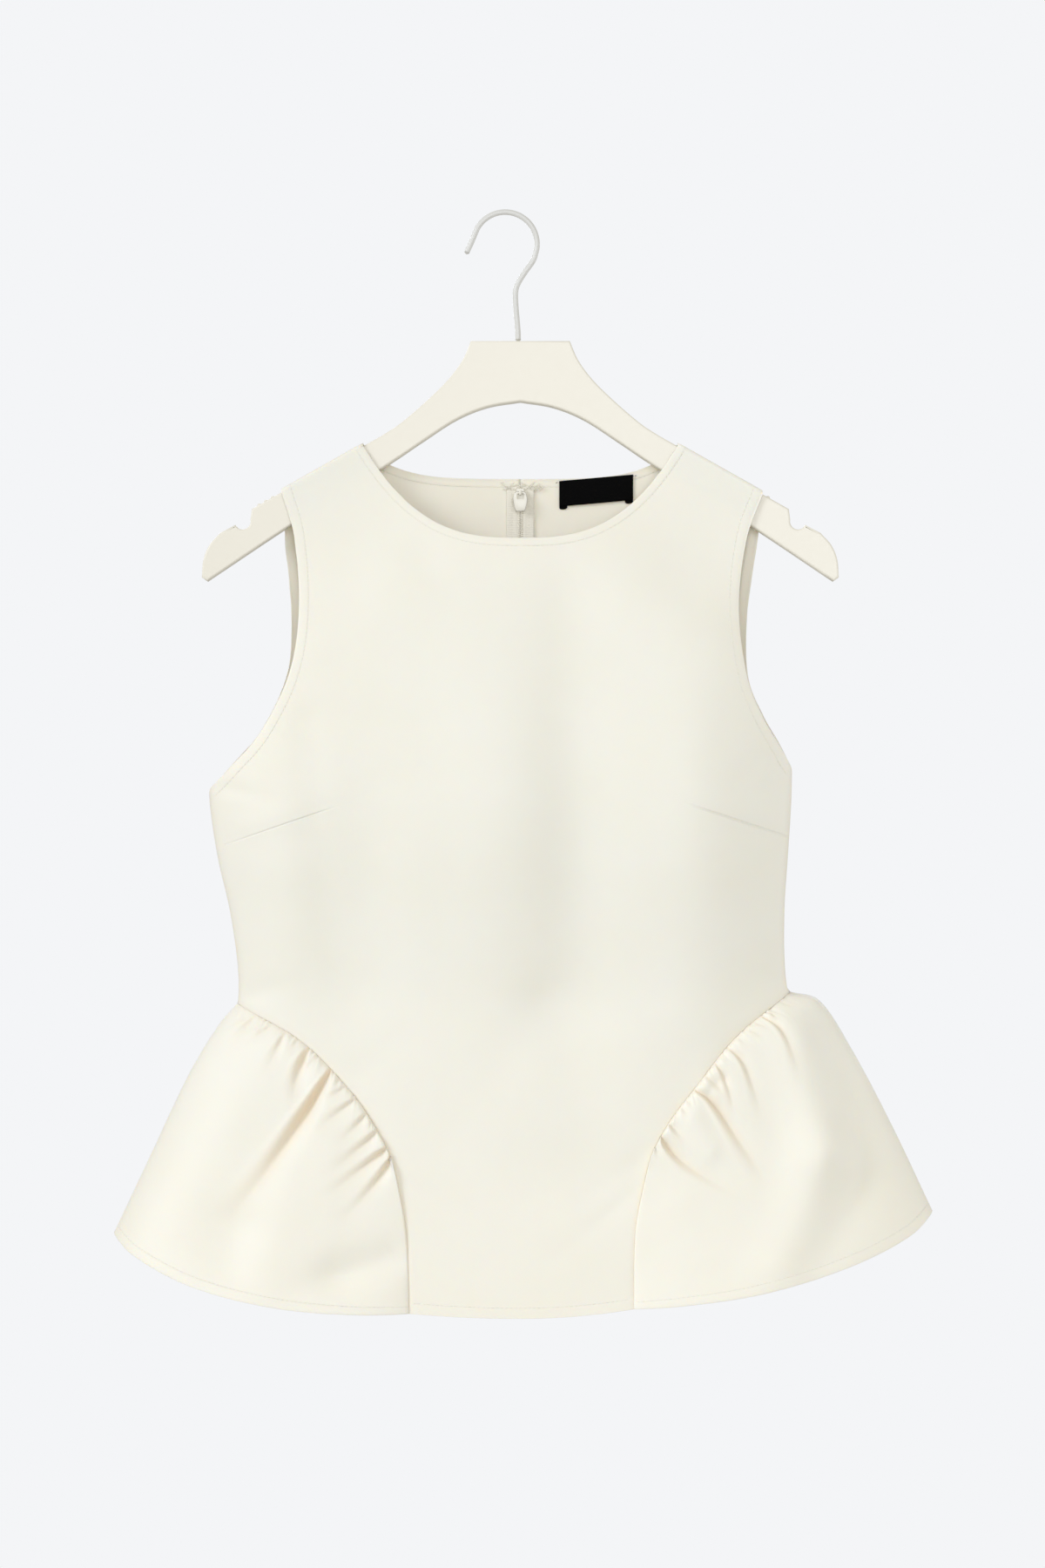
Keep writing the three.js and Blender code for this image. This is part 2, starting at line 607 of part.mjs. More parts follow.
function fromSolid(made) {
  const mesh = made.getMesh();
  const geometry = new THREE.BufferGeometry();
  geometry.setAttribute('position', new THREE.Float32BufferAttribute(mesh.vertProperties, 3));
  geometry.setIndex(Array.from(mesh.triVerts));
  return geometry;
}

// The zip's slider and its pull, at the top of the zip inside the back. The slider lies on the
// tapes and leans with them; the pull hangs straight down from the slider's bridge.
const SLIDER = { width: 5.6, tall: 9, thick: 2.6, bridgeWide: 1.6, bridgeWall: 0.9, barUp: 1.5 };
const PULL = { width: 9.6, long: 13, thick: 1.2, bar: 1.2, eyeWide: 4.4, eyeLong: 3.6 };
const SLIDER_OFF = CLOTH / 2 + SEAM_GAP + ZIP_TAPE + SEAM_GAP;
const SEAT = insideBack(0, ZIP_TOP - 6, SLIDER_OFF);
const SEAT_ABOVE = insideBack(0, ZIP_TOP - 6 + SLIDER.tall / 2, SLIDER_OFF);
const LEAN = Math.atan2(SEAT.y - SEAT_ABOVE.y, SEAT_ABOVE.z - SEAT.z);
const BAR_OFF = SLIDER.thick + SEAM_GAP + PULL.bar / 2;
const onSlider = (geometry) => geometry.rotateX(LEAN).translate(SEAT.x, SEAT.y, SEAT.z);
const PIVOT = new THREE.Vector3(0, -BAR_OFF, SLIDER.barUp)
  .applyAxisAngle(new THREE.Vector3(1, 0, 0), LEAN).add(SEAT);

// Upright plates are drawn in X and Z and pushed along Y
function uprightPlate(shape, thick, middleY) {
  const geometry = new THREE.ExtrudeGeometry(shape, { depth: thick, bevelEnabled: false });
  geometry.rotateX(Math.PI / 2);
  return geometry.translate(0, middleY + thick / 2, 0);
}

function box(width, thick, tall, x, y, z) {
  return new THREE.BoxGeometry(width, thick, tall).translate(x, y, z);
}

function zipSlider() {
  const { width, tall, thick, bridgeWide, bridgeWall, barUp } = SLIDER;
  const shape = new THREE.Shape([
    new THREE.Vector2(-width / 2, tall / 2),
    new THREE.Vector2(-width / 2, 0),
    new THREE.Vector2(-width / 3, -tall / 2),
    new THREE.Vector2(width / 3, -tall / 2),
    new THREE.Vector2(width / 2, 0),
    new THREE.Vector2(width / 2, tall / 2),
  ]);
  const body = solid(onSlider(uprightPlate(shape, thick, -thick / 2)));
  const footUp = PULL.bar / 2 + SEAM_GAP + bridgeWall / 2;
  const crownY = -BAR_OFF - footUp;
  const sunk = 0.2;
  const footLong = -thick - crownY + bridgeWall / 2 + sunk;
  const foot = (dz) => solid(onSlider(box(bridgeWide, footLong, bridgeWall,
    0, -thick + sunk - footLong / 2, barUp + dz)));
  const crown = solid(onSlider(box(bridgeWide, bridgeWall, 2 * footUp + bridgeWall, 0, crownY, barUp)));
  return fromSolid(body.add(foot(footUp)).add(foot(-footUp)).add(crown));
}

function zipPull() {
  const { width, long, bar, eyeWide, eyeLong, thick } = PULL;
  const top = bar / 2;
  const shoulder = eyeWide / 2 + bar;
  const shape = new THREE.Shape();
  shape.moveTo(-shoulder, top);
  shape.lineTo(shoulder, top);
  shape.lineTo(width / 2, top - eyeLong - bar);
  shape.quadraticCurveTo(width / 2, top - long * 0.72, width / 3.4, top - long);
  shape.lineTo(-width / 3.4, top - long);
  shape.quadraticCurveTo(-width / 2, top - long * 0.72, -width / 2, top - eyeLong - bar);
  const eye = box(eyeWide, 2 * thick, eyeLong, 0, 0, top - bar - eyeLong / 2);
  const plate = fromSolid(solid(uprightPlate(shape, thick, 0)).subtract(solid(eye)));
  return plate.translate(PIVOT.x, PIVOT.y, PIVOT.z);
}

// The hanger's half outline from the top of the neck round to the middle of the arch
const HANGER_TOP_CURVE = [[34, -87.5], [40, -101], [50.5, -115], [66.5, -130.5], [83, -144.5]];
const HANGER_STRAIGHT_X = 96;
const HANGER_TIP_CURVE = [[206.5, -219.5], [214, -228], [218, -238], [219, -250]];
const HANGER_ARCH = [[95, -175], [68, -157], [44, -141.5], [22.5, -132.8], [0, -129]];
const HANGER_TIP = [215.5, -252.5];
const NOTCH = { x: 191, z: -211.5, r: 5.5 };
const TOOTH = { pitch: 4.6, tall: 2.1, start: 168.4, leftCount: 3, rightCount: 1 };

function hangerHalf(sign, teeth) {
  const points = HANGER_TOP_CURVE.map(([x, z]) => [x, z]);
  points.push([HANGER_STRAIGHT_X, shoulderEdge(HANGER_STRAIGHT_X)]);
  for (let i = 0; i < teeth; i += 1) {
    const x = TOOTH.start + i * TOOTH.pitch;
    points.push([x, shoulderEdge(x)]);
    points.push([x + TOOTH.pitch * 0.45, shoulderEdge(x) + TOOTH.tall - TOOTH.pitch * 0.2]);
    points.push([x + TOOTH.pitch * 0.7, shoulderEdge(x + TOOTH.pitch * 0.7)]);
  }
  points.push([NOTCH.x - NOTCH.r, shoulderEdge(NOTCH.x - NOTCH.r)]);
  const steps = 8;
  for (let i = 0; i <= steps; i += 1) {
    const angle = Math.PI - 0.2 + (i / steps) * (Math.PI - 0.25);
    points.push([NOTCH.x + NOTCH.r * Math.cos(angle), NOTCH.z + NOTCH.r * Math.sin(angle)]);
  }
  points.push(...HANGER_TIP_CURVE, HANGER_TIP, ...HANGER_ARCH);
  return points.map(([x, z]) => new THREE.Vector2(sign * x, z));
}

function hanger() {
  const right = hangerHalf(1, TOOTH.rightCount);
  const left = hangerHalf(-1, TOOTH.leftCount).reverse().slice(1);
  const geometry = new THREE.ExtrudeGeometry(new THREE.Shape([...right, ...left]), {
    depth: HANGER_THICKNESS - 2 * HANGER_EDGE,
    bevelEnabled: true,
    bevelThickness: HANGER_EDGE,
    bevelSize: HANGER_EDGE,
    bevelOffset: -HANGER_EDGE,
    bevelSegments: 1,
    curveSegments: 8,
  });
  geometry.rotateX(Math.PI / 2);
  geometry.translate(MID_X, HANGER_THICKNESS / 2 - HANGER_EDGE, 0);
  return fromSolid(solid(geometry));
}

// The wire hook: its open tip, a round crown, and the bend down into the stem
const HOOK_TIP = [-27, -27];
const HOOK_BEND = [[19.3, -31.5], [13.6, -39.6], [8.9, -47.2], [7.2, -53], [7.3, -62], [8.6, -78]];
const STEM_FOOT = [9, HANGER_TOP_CURVE[0][1] + SEAM_GAP];
function hangerHook() {
  const centreZ = WIRE_RADIUS - HOOK_RADIUS;
  const route = [HOOK_TIP, [-23.2, -18.8]];
  const steps = 12;
  for (let i = 0; i <= steps; i += 1) {
    const angle = THREE.MathUtils.degToRad(mix(152, -12, i / steps));
    route.push([HOOK_RADIUS * Math.cos(angle), centreZ + HOOK_RADIUS * Math.sin(angle)]);
  }
  route.push(...HOOK_BEND, STEM_FOOT);
  const path = new THREE.CatmullRomCurve3(route.map(([x, z]) => new THREE.Vector3(x, 0, z)), false, 'centripetal');
  const sides = 8;
  const section = new THREE.Shape(Array.from({ length: sides }, (_, i) => {
    const angle = (i / sides) * 2 * Math.PI;
    return new THREE.Vector2(WIRE_RADIUS * Math.cos(angle), WIRE_RADIUS * Math.sin(angle));
  }));
  const geometry = new THREE.ExtrudeGeometry(section, { steps: 38, extrudePath: path, bevelEnabled: false });
  return fromSolid(solid(geometry));
}

const finish = (color, roughness, metalness = 0) => () => (
  new THREE.MeshStandardMaterial({ color, roughness, metalness }));
const satin = finish(0xf2f0e3, 0.55);
const tape = finish(0xf0ede0, 0.7);
const label = finish(0x0c0c0d, 0.6);
const paintedMetal = finish(0xe4dfcf, 0.4, 0.2);
const lacquer = finish(0xe7e3d5, 0.45);

const top = new THREE.Group();
function addPiece(name, geometry, material) {
  const mesh = new THREE.Mesh(geometry, material());
  mesh.name = name;
  top.add(mesh);
}

addPiece('front_panel', frontPanel(), satin);
addPiece('back_panel_left', backPanel(SIDES.left), satin);
addPiece('back_panel_right', backPanel(SIDES.right), satin);
addPiece('peplum_front_left', peplum(FRONT, SIDES.left, LEFT_GATHERS), satin);
addPiece('peplum_front_right', peplum(FRONT, SIDES.right, RIGHT_GATHERS), satin);
addPiece('peplum_back_left', peplum(BACK, SIDES.left, BACK_GATHERS), satin);
addPiece('peplum_back_right', peplum(BACK, SIDES.right, BACK_GATHERS), satin);
addPiece('zip_tape_left', zipTape(SIDES.left), tape);
addPiece('zip_tape_right', zipTape(SIDES.right), tape);
addPiece('zip_slider', zipSlider(), paintedMetal);
addPiece('zip_pull', zipPull(), paintedMetal);
addPiece('neck_label', neckLabel(), label);
addPiece('hanger', hanger(), lacquer);
addPiece('hanger_hook', hangerHook(), paintedMetal);

export default top;
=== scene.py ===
"""Dresses a sleeveless satin peplum top that hangs on a flat lacquered hanger.

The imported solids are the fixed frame. Each panel of cloth is a thin shell on its solid's form,
worked out from the same tables, with its gathers, darts, turned edges and stitches. Sizes are in
millimetres in the tables and turn to metres where a mesh is made. X is to the viewer's right, the
front faces -Y, and the origin is under the crown of the wire hook.
"""

from __future__ import annotations

import logging
import math
from dataclasses import dataclass
from enum import Enum
from functools import partial
from itertools import product
from typing import Callable, Iterator, Sequence

import bmesh
import bpy
import numpy as np
from mathutils import Matrix, Quaternion, Vector


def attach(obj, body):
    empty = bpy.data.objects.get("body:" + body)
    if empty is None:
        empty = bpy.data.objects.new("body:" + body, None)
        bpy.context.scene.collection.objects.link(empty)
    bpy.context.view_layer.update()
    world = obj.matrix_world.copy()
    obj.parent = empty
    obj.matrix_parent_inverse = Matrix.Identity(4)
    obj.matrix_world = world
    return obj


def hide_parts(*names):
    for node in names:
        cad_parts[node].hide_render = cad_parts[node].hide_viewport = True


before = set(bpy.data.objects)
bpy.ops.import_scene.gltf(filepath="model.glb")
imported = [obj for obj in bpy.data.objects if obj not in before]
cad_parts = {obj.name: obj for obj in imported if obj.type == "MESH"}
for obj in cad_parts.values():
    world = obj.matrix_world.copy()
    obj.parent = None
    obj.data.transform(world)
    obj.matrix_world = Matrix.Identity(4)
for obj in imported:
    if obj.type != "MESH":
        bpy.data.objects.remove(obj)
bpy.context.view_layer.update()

log = logging.getLogger("peplum_top")
MM = 0.001
# Farther than any place on the cloth, in millimetres
FAR = 1e3
# The wave texture's scale for lines one metre apart
WAVE_PER_METRE = math.pi / 10
Array = np.ndarray


class Face(Enum):
    """Which way a piece of cloth faces, as the sign of its Y."""

    FRONT = -1
    BACK = 1


class Side(Enum):
    """The viewer's left or right, facing the front, as the sign of X."""

    LEFT = -1
    RIGHT = 1


# Shapes of curves


def ease(value: Array) -> Array:
    """A smooth step from 0 to 1."""
    share = np.clip(value, 0.0, 1.0)
    return share * share * (3 - 2 * share)


def bell(value: Array, power: float = 2.0) -> Array:
    """A swell that is 1 in its middle; a lower power gives it a sharper crest."""
    return np.exp(-(np.abs(value) ** power))


def mix(low: Array, high: Array, share: Array) -> Array:
    """A value part of the way from low to high."""
    return low + (high - low) * share


def lines(start: float, end: float, count: int) -> Array:
    """Evenly spaced grid lines."""
    return np.linspace(start, end, count + 1)


@dataclass(frozen=True)
class Table:
    """A short table with named columns, read as smooth curves.

    Args:
        columns: the columns' names, split by spaces.
        rows: the rows, in rising or falling order of the column that they are read by.
    """

    columns: str
    rows: tuple[tuple[float, ...], ...]

    def column(self, name: str) -> Array:
        """One column's values."""
        return np.array([row[self.columns.split().index(name)] for row in self.rows], float)

    def read(self, key: str, name: str, at: Array) -> Array:
        """Reads a column smoothly.

        Args:
            key: the column to look up by.
            name: the column to read.
            at: the places along the key.

        Returns:
            The column's value at each place.
        """
        keys, values = self.column(key), self.column(name)
        if keys[0] > keys[-1]:
            keys, values = keys[::-1], values[::-1]
        slopes = np.empty_like(values)
        slopes[1:-1] = (values[2:] - values[:-2]) / (keys[2:] - keys[:-2])
        slopes[0] = (values[1] - values[0]) / (keys[1] - keys[0])
        slopes[-1] = (values[-1] - values[-2]) / (keys[-1] - keys[-2])
        at = np.clip(at, keys[0], keys[-1])
        low = np.clip(np.searchsorted(keys, at) - 1, 0, len(keys) - 2)
        step = keys[low + 1] - keys[low]
        t = (at - keys[low]) / step
        rise = (3 - 2 * t) * t * t
        level = (1 - rise) * values[low] + rise * values[low + 1]
        return level + t * (1 - t) ** 2 * step * slopes[low] - t * t * (1 - t) * step * slopes[low + 1]

    def by_side(self, key: str, part: str, sign: Array, at: Array) -> Array:
        """Reads the left or the right column, by the sign of X."""
        return np.where(sign < 0, self.read(key, f"left{part}", at), self.read(key, f"right{part}", at))

    def dicts(self) -> list[dict[str, float]]:
        """The rows as dictionaries."""
        return [dict(zip(self.columns.split(), row)) for row in self.rows]


# The top's form: what the tables hold is in millimetres from the centre line, or shares from 0 to 1
NECK_Z = {Face.FRONT: -224.0, Face.BACK: -181.0}
NECK_POWER = {Face.FRONT: 2.8, Face.BACK: 4.4}
BODY = Table(
    "z left right front back",
    (
        (-150, 192, 180, 12, 10), (-200, 201, 183, 19, 13), (-260, 207, 186, 28, 16),
        (-340, 212, 187, 39, 19), (-396, 214.5, 187, 45, 21), (-440, 209, 184.5, 45, 21),
        (-480, 200, 182, 42, 20), (-520, 194.5, 182.5, 39, 19), (-545, 195, 186.5, 39, 19),
        (-600, 206, 203, 45, 23), (-680, 228, 228, 54, 28), (-760, 245, 245, 62, 33),
    ),
)
PEPLUM_SEAM = Table(
    "up left_x left_z right_x right_z",
    (
        (0, 75, -748, 76.5, -745), (0.24, 76.5, -698, 77.5, -693.5),
        (0.385, 81.5, -667.5, 83.5, -663), (0.5, 88, -643.5, 90.5, -639.5),
        (0.578, 98.5, -623.5, 101.5, -620), (0.67, 114, -601.5, 117.5, -599.5),
        (0.835, 149.5, -567, 147.5, -564), (1, 195, -543, 186, -535),
    ),
)
ARMHOLES = {
    Face.FRONT: Table(
        "up left_x left_z right_x right_z",
        (
            (0, 214.5, -396, 187, -381), (0.13, 197, -379, 178, -366), (0.27, 177, -356, 166, -346),
            (0.44, 158, -317, 155, -318), (0.63, 151.5, -274, 149.5, -271),
            (0.84, 155, -222, 155, -222), (1, 164, -190, 166.5, -190),
        ),
    ),
    Face.BACK: Table(
        "up left_x left_z right_x right_z",
        (
            (0, 214.5, -396, 187, -381), (0.13, 198, -377, 179, -364), (0.27, 179, -354, 168, -344),
            (0.44, 161.5, -315, 157.5, -316), (0.63, 158.5, -272, 157, -271),
            (0.84, 162.5, -222, 163.5, -222), (1, 164, -190, 166.5, -190),
        ),
    ),
}
PEPLUM_SIDE = Table(
    "down left_x left_z right_x right_z",
    (
        (0, 195, -543, 186, -535), (0.12, 208, -558, 206, -541), (0.3, 228, -591, 228, -574),
        (0.6, 255, -648, 256, -627), (1, 280, -701, 284, -686),
    ),
)
PEPLUM_HEM = Table(
    "in left_x left_z right_x right_z out",
    (
        (0, 280, -701, 284, -686, 0), (0.12, 262, -714, 265, -700, 3), (0.3, 223, -731, 225, -717, 8),
        (0.55, 168, -743, 168, -733, 12), (0.8, 115, -748, 116, -741.5, 8), (1, 75, -748, 76.5, -745, 0),
    ),
)
SWELLS = {
    Face.FRONT: Table(
        "x z wide tall out",
        (
            (-168, -455, 26, 95, 4), (-112, -460, 30, 100, -5), (-16, -430, 38, 130, 4),
            (44, -440, 34, 130, -5), (140, -430, 42, 110, 6), (-118, -255, 22, 50, -2),
            (118, -260, 24, 50, -2), (40, -655, 60, 30, -2.5),
        ),
    ),
    Face.BACK: Table(
        "x z wide tall out",
        (
            (-120, -440, 34, 110, -3), (118, -450, 34, 110, -3),
            (-60, -500, 30, 120, 2), (64, -480, 30, 120, 2),
        ),
    ),
}


@dataclass(frozen=True)
class TopForm:
    """The hanging top as a pattern laid on a tube, in millimetres from its centre line."""

    mid_x: float = 10.5
    shoulder_x: float = 108.0
    shoulder_z: float = -159.8
    slope: float = 0.564
    turn_radius: float = 2.0
    fall: float = 130.0
    ring_power: float = 2.4
    ring_round: float = 0.6
    hold: float = 7.7
    lift: float = 1.7
    hem_z: float = -751.0
    waist_z: float = -556.0
    underarm_z: float = -408.0
    up_waist: float = 0.37
    up_underarm: float = 0.65
    across_neck: float = 0.66
    neck_round: float = 0.6
    top_shape_from: float = 0.62
    gather_end: float = 0.5
    corner_pull: int = 8

    def turn_line(self, x: Array) -> Array:
        """The height where the cloth starts to turn over the hanger's shoulder."""
        edge = self.shoulder_z - (np.abs(x) - self.shoulder_x) * self.slope
        return edge + self.lift * math.hypot(1, self.slope) - self.turn_radius

    @property
    def over_hanger(self) -> float:
        """The cloth's length from the turn line to the shoulder seam on top of the hanger."""
        return (math.pi / 2 - 1) * self.turn_radius + self.hold

    def stand_off(self, face: Face, x: Array, z: Array) -> Array:
        """How far the cloth stands off the hanger's mid plane."""
        share = np.clip(np.abs(x) / BODY.by_side("z", "", x, z), 0, 1)
        ring = (1 - share**self.ring_power) ** self.ring_round
        out = BODY.read("z", face.name.lower(), z)
        for swell in SWELLS[face].dicts():
            across = bell((x - swell["x"]) / swell["wide"])
            out = out + swell["out"] * across * bell((z - swell["z"]) / swell["tall"])
        return mix(self.hold, out * ring, ease((self.turn_line(x) - z) / self.fall))

    def drape(self, face: Face, x: Array, height: Array) -> Array:
        """Lays points of the pattern on the tube and over the hanger.

        Args:
            face: the front or the back.
            x: places from the centre line.
            height: heights up the cloth.

        Returns:
            One row of X, Y and Z in millimetres for each point.
        """
        past = height - self.turn_line(x)
        quarter = math.pi / 2 * self.turn_radius
        angle = np.clip(past, 0, quarter) / self.turn_radius
        turned = self.hold - self.turn_radius * (1 - np.cos(angle)) - np.maximum(past - quarter, 0)
        off = np.where(past <= 0, self.stand_off(face, x, height), turned)
        z = np.where(past <= 0, height, self.turn_line(x) + self.turn_radius * np.sin(angle))
        return np.stack([self.mid_x + x, face.value * np.maximum(off, 0), z], axis=-1)

    def panel_edge(self, face: Face, sign: Array, up: Array) -> tuple[Array, Array]:
        """The outer edge of a centre panel: the peplum seam, the side seam, then the armhole."""
        seam, hole = PEPLUM_SEAM, ARMHOLES[face]
        low = up / self.up_waist
        mid = np.clip((up - self.up_waist) / (self.up_underarm - self.up_waist), 0, 1)
        high = (up - self.up_underarm) / (1 - self.up_underarm)
        waist_z = seam.by_side("up", "_z", sign, np.ones_like(up))
        side_z = mix(waist_z, hole.by_side("up", "_z", sign, np.zeros_like(up)), mid)
        side_x = BODY.by_side("z", "", sign, side_z)
        steps = [up <= self.up_waist, up <= self.up_underarm]
        x, z = (
            np.select(steps, [seam.by_side("up", part, sign, low), side], hole.by_side("up", part, sign, high))
            for part, side in (("_x", side_x), ("_z", side_z))
        )
        return x, z

    def centre_height(self, face: Face, up: Array) -> Array:
        """The height of the centre line's points."""
        levels = [0, self.up_waist, self.up_underarm, 1]
        return np.interp(up, levels, [self.hem_z, self.waist_z, self.underarm_z, NECK_Z[face]])

    def neckline(self, face: Face, share: Array) -> tuple[Array, Array]:
        """The neckline, from the centre line out to the neck point."""
        x = mix(share, np.sin(share * math.pi / 2), self.neck_round)
        climb = (self.turn_line(np.array(self.shoulder_x)) - NECK_Z[face]) * x ** NECK_POWER[face]
        return self.shoulder_x * x, NECK_Z[face] + climb

    def panel_pattern(self, face: Face, across: Array, up: Array) -> tuple[Array, Array]:
        """Fills a centre panel's pattern in between its edges.

        Args:
            face: the front or the back.
            across: from -1 at the left edge to 1 at the right.
            up: from 0 at the hem to 1 at the neckline and the hanger, then 2 on top of the hanger.

        Returns:
            Places from the centre line, and heights up the cloth.
        """
        sign = np.where(across < 0, -1.0, 1.0)
        far = np.abs(across)
        level = np.minimum(up, 1)
        edge_x, edge_z = self.panel_edge(face, sign, level)
        _, corner_z = self.panel_edge(face, sign, np.zeros_like(far))
        tip_x, tip_z = self.panel_edge(face, sign, np.ones_like(far))
        neck_x, neck_z = self.neckline(face, np.clip(far / self.across_neck, 0, 1))
        beyond = np.clip((far - self.across_neck) / (1 - self.across_neck), 0, 1)
        top_x = np.where(far <= self.across_neck, neck_x, mix(self.shoulder_x, tip_x, beyond))
        top_z = np.where(far <= self.across_neck, neck_z, self.turn_line(top_x))
        shaped = ease((level - self.top_shape_from) / (1 - self.top_shape_from))
        sag = (corner_z - self.hem_z) * (far * far - far) * (1 - level)
        x = far * edge_x + shaped * (top_x - far * tip_x)
        z = mix(self.centre_height(face, level), edge_z, far) + sag
        z = z + shaped * (top_z - mix(NECK_Z[face], tip_z, far))
        return sign * x, z + np.maximum(up - 1, 0) * self.over_hanger

    def seam_points(self, face: Face, side: Side, share: Array) -> Array:
        """Points of a peplum's seam, from its hem at share 0 to the waist at 1."""
        sign = np.full_like(share, side.value, dtype=float)
        x, z = (PEPLUM_SEAM.by_side("up", part, sign, share) for part in ("_x", "_z"))
        return self.drape(face, side.value * x, z)

    def peplum(self, face: Face, side: Side, across: Array, down: Array) -> Array:
        """Points of a peplum's smooth form, before its gathers.

        Args:
            face: the front or the back.
            side: the left or the right.
            across: from 0 at the side seam to 1 at the centre panel.
            down: from 0 at the gathered seam to 1 at the hem.

        Returns:
            One row of X, Y and Z in millimetres for each point.
        """
        name = side.name.lower()
        inner = self.seam_points(face, side, np.array([0.0]))[0]

        def gathered(u: Array) -> Array:
            return self.seam_points(face, side, mix(1, self.gather_end, u))

        def side_seam(v: Array) -> Array:
            x, z = (PEPLUM_SIDE.read("down", f"{name}_{axis}", v) for axis in "xz")
            return np.stack([self.mid_x + side.value * x, 0 * x, z], axis=-1)

        def hem(u: Array) -> Array:
            ring = (1 - (1 - u) ** self.ring_power) ** self.ring_round
            x, z = (PEPLUM_HEM.read("in", f"{name}_{axis}", u) for axis in "xz")
            out = face.value * (abs(inner[1]) * ring + PEPLUM_HEM.read("in", "out", u))
            pull = u**self.corner_pull
            x = mix(self.mid_x + side.value * x, inner[0], pull)
            return np.stack([x, out, mix(z, inner[2], pull)], axis=-1)

        u, v = across[:, None], down[:, None]
        zero, one = np.zeros_like(across), np.ones_like(across)
        plain = self.seam_points(face, side, mix(self.gather_end, 0, down))
        points = (1 - v) * gathered(across) + v * hem(across)
        points = points + (1 - u) * side_seam(down) + u * plain
        points = points - (1 - u) * ((1 - v) * gathered(zero) + v * hem(zero))
        points = points - u * ((1 - v) * gathered(one) + v * inner)
        points[:, 1] = face.value * np.maximum(face.value * points[:, 1], 0)
        return points


@dataclass(frozen=True)
class Folds:
    """Soft folds along short lines of a flat pattern: swells, or hollows where out is negative.

    Args:
        table: where each line starts and ends, half its width, its height, and the share of that
            height that is gone at its end.
    """

    table: Table

    def height(self, x: Array, z: Array) -> Array:
        """How far the folds lift the cloth, in millimetres."""
        total = np.zeros_like(x, dtype=float)
        for fold in self.table.dicts():
            run_x, run_z = fold["x1"] - fold["x0"], fold["z1"] - fold["z0"]
            along = ((x - fold["x0"]) * run_x + (z - fold["z0"]) * run_z) / (run_x**2 + run_z**2)
            along = np.clip(along, 0, 1)
            off = np.hypot(x - fold["x0"] - along * run_x, z - fold["z0"] - along * run_z)
            total += fold["out"] * (1 - fold["fade"] * ease(along)) * bell(off / fold["wide"])
        return total


@dataclass(frozen=True)
class Gathers:
    """Gathers of a peplum: a puff under the seam, cut by creases that run down from it.

    Each crease has a steep wall on one side and a gentle one on the other, as folded cloth has. Its
    bottom starts narrow at the seam and widens down its run. Small puckers fill the seam between.
    """

    creases: Table
    steep_side: int
    span: float = 155.0
    fan: float = 75.0
    puff: float = 5.0
    rise: float = 0.025
    steep: float = 0.5
    gentle: float = 1.5
    lip: float = 0.16
    lip_at: float = 1.15
    lip_wide: float = 0.5
    narrow: float = 0.42
    widening: float = 2.3
    side_end: float = 0.09
    centre_end: float = 0.03
    puff_end: float = 0.3
    pucker_pitch: float = 4.6
    pucker: float = 0.7
    pucker_run: float = 0.035
    # The crease depth that gets the full painted shade
    full_depth: float = 6.5

    def section(self, off: Array) -> Array:
        """One crease's section: its depth at a place given in half widths from its bottom."""
        side = off * self.steep_side
        wall = np.where(side > 0, bell(side / self.steep, 1.8), bell(side / self.gentle, 1.6))
        return wall - self.lip * bell((side - self.lip_at) / self.lip_wide)

    def runs(self, across: Array, down: Array) -> Iterator[tuple[float, Array, Array]]:
        """Each crease's depth, with each place's share of its run and half widths from its bottom."""
        for crease in self.creases.dicts():
            run = down / crease["long"]
            middle = crease["at"] + crease["lean"] * down + crease["bend"] * down**2
            wide = crease["wide"] * (self.narrow + self.widening * run)
            yield crease["deep"], run, (across - middle) * (self.span + self.fan * down) / wide

    def height(self, across: Array, down: Array) -> Array:
        """How far the cloth lies out of its smooth form, in millimetres."""
        inner = ease((1 - across) / self.centre_end)
        height = self.puff * ease(across / self.puff_end) * inner * (1 - down) ** 2
        for deep, run, off in self.runs(across, down):
            depth = deep * (0.5 + 0.5 * ease(run / 0.3)) * (1 - ease(run))
            height = height - depth * ease(across / self.side_end) * inner * self.section(off)
        # The small puckers wander and vary in depth, as gathering threads pull them
        wander = across + 0.012 * np.sin(across * 31) + 0.006 * np.sin(across * 83) - 0.35 * down
        ripple = np.sin(2 * math.pi * wander * (self.span + self.fan * down) / self.pucker_pitch)
        small = self.pucker * (0.55 + 0.45 * np.sin(across * 47 + 1)) * np.exp(-down / self.pucker_run)
        near = ease(across / 0.06) * ease((1 - across) / 0.02)
        return (1 - np.exp(-down / self.rise)) * height + small * ripple * near

    def hollow(self, across: Array, down: Array) -> Array:
        """How much painted shade the cloth gets deep in a crease, from 0 to 1, where light is lost between its
        walls.
        """
        total = np.zeros_like(across)
        for deep, run, off in self.runs(across, down):
            share = deep / self.full_depth * (1 - ease(run))
            total += share * bell((off - 0.25 * self.steep_side) / 0.8)
        return np.clip(total * ease(across / self.side_end), 0, 1)


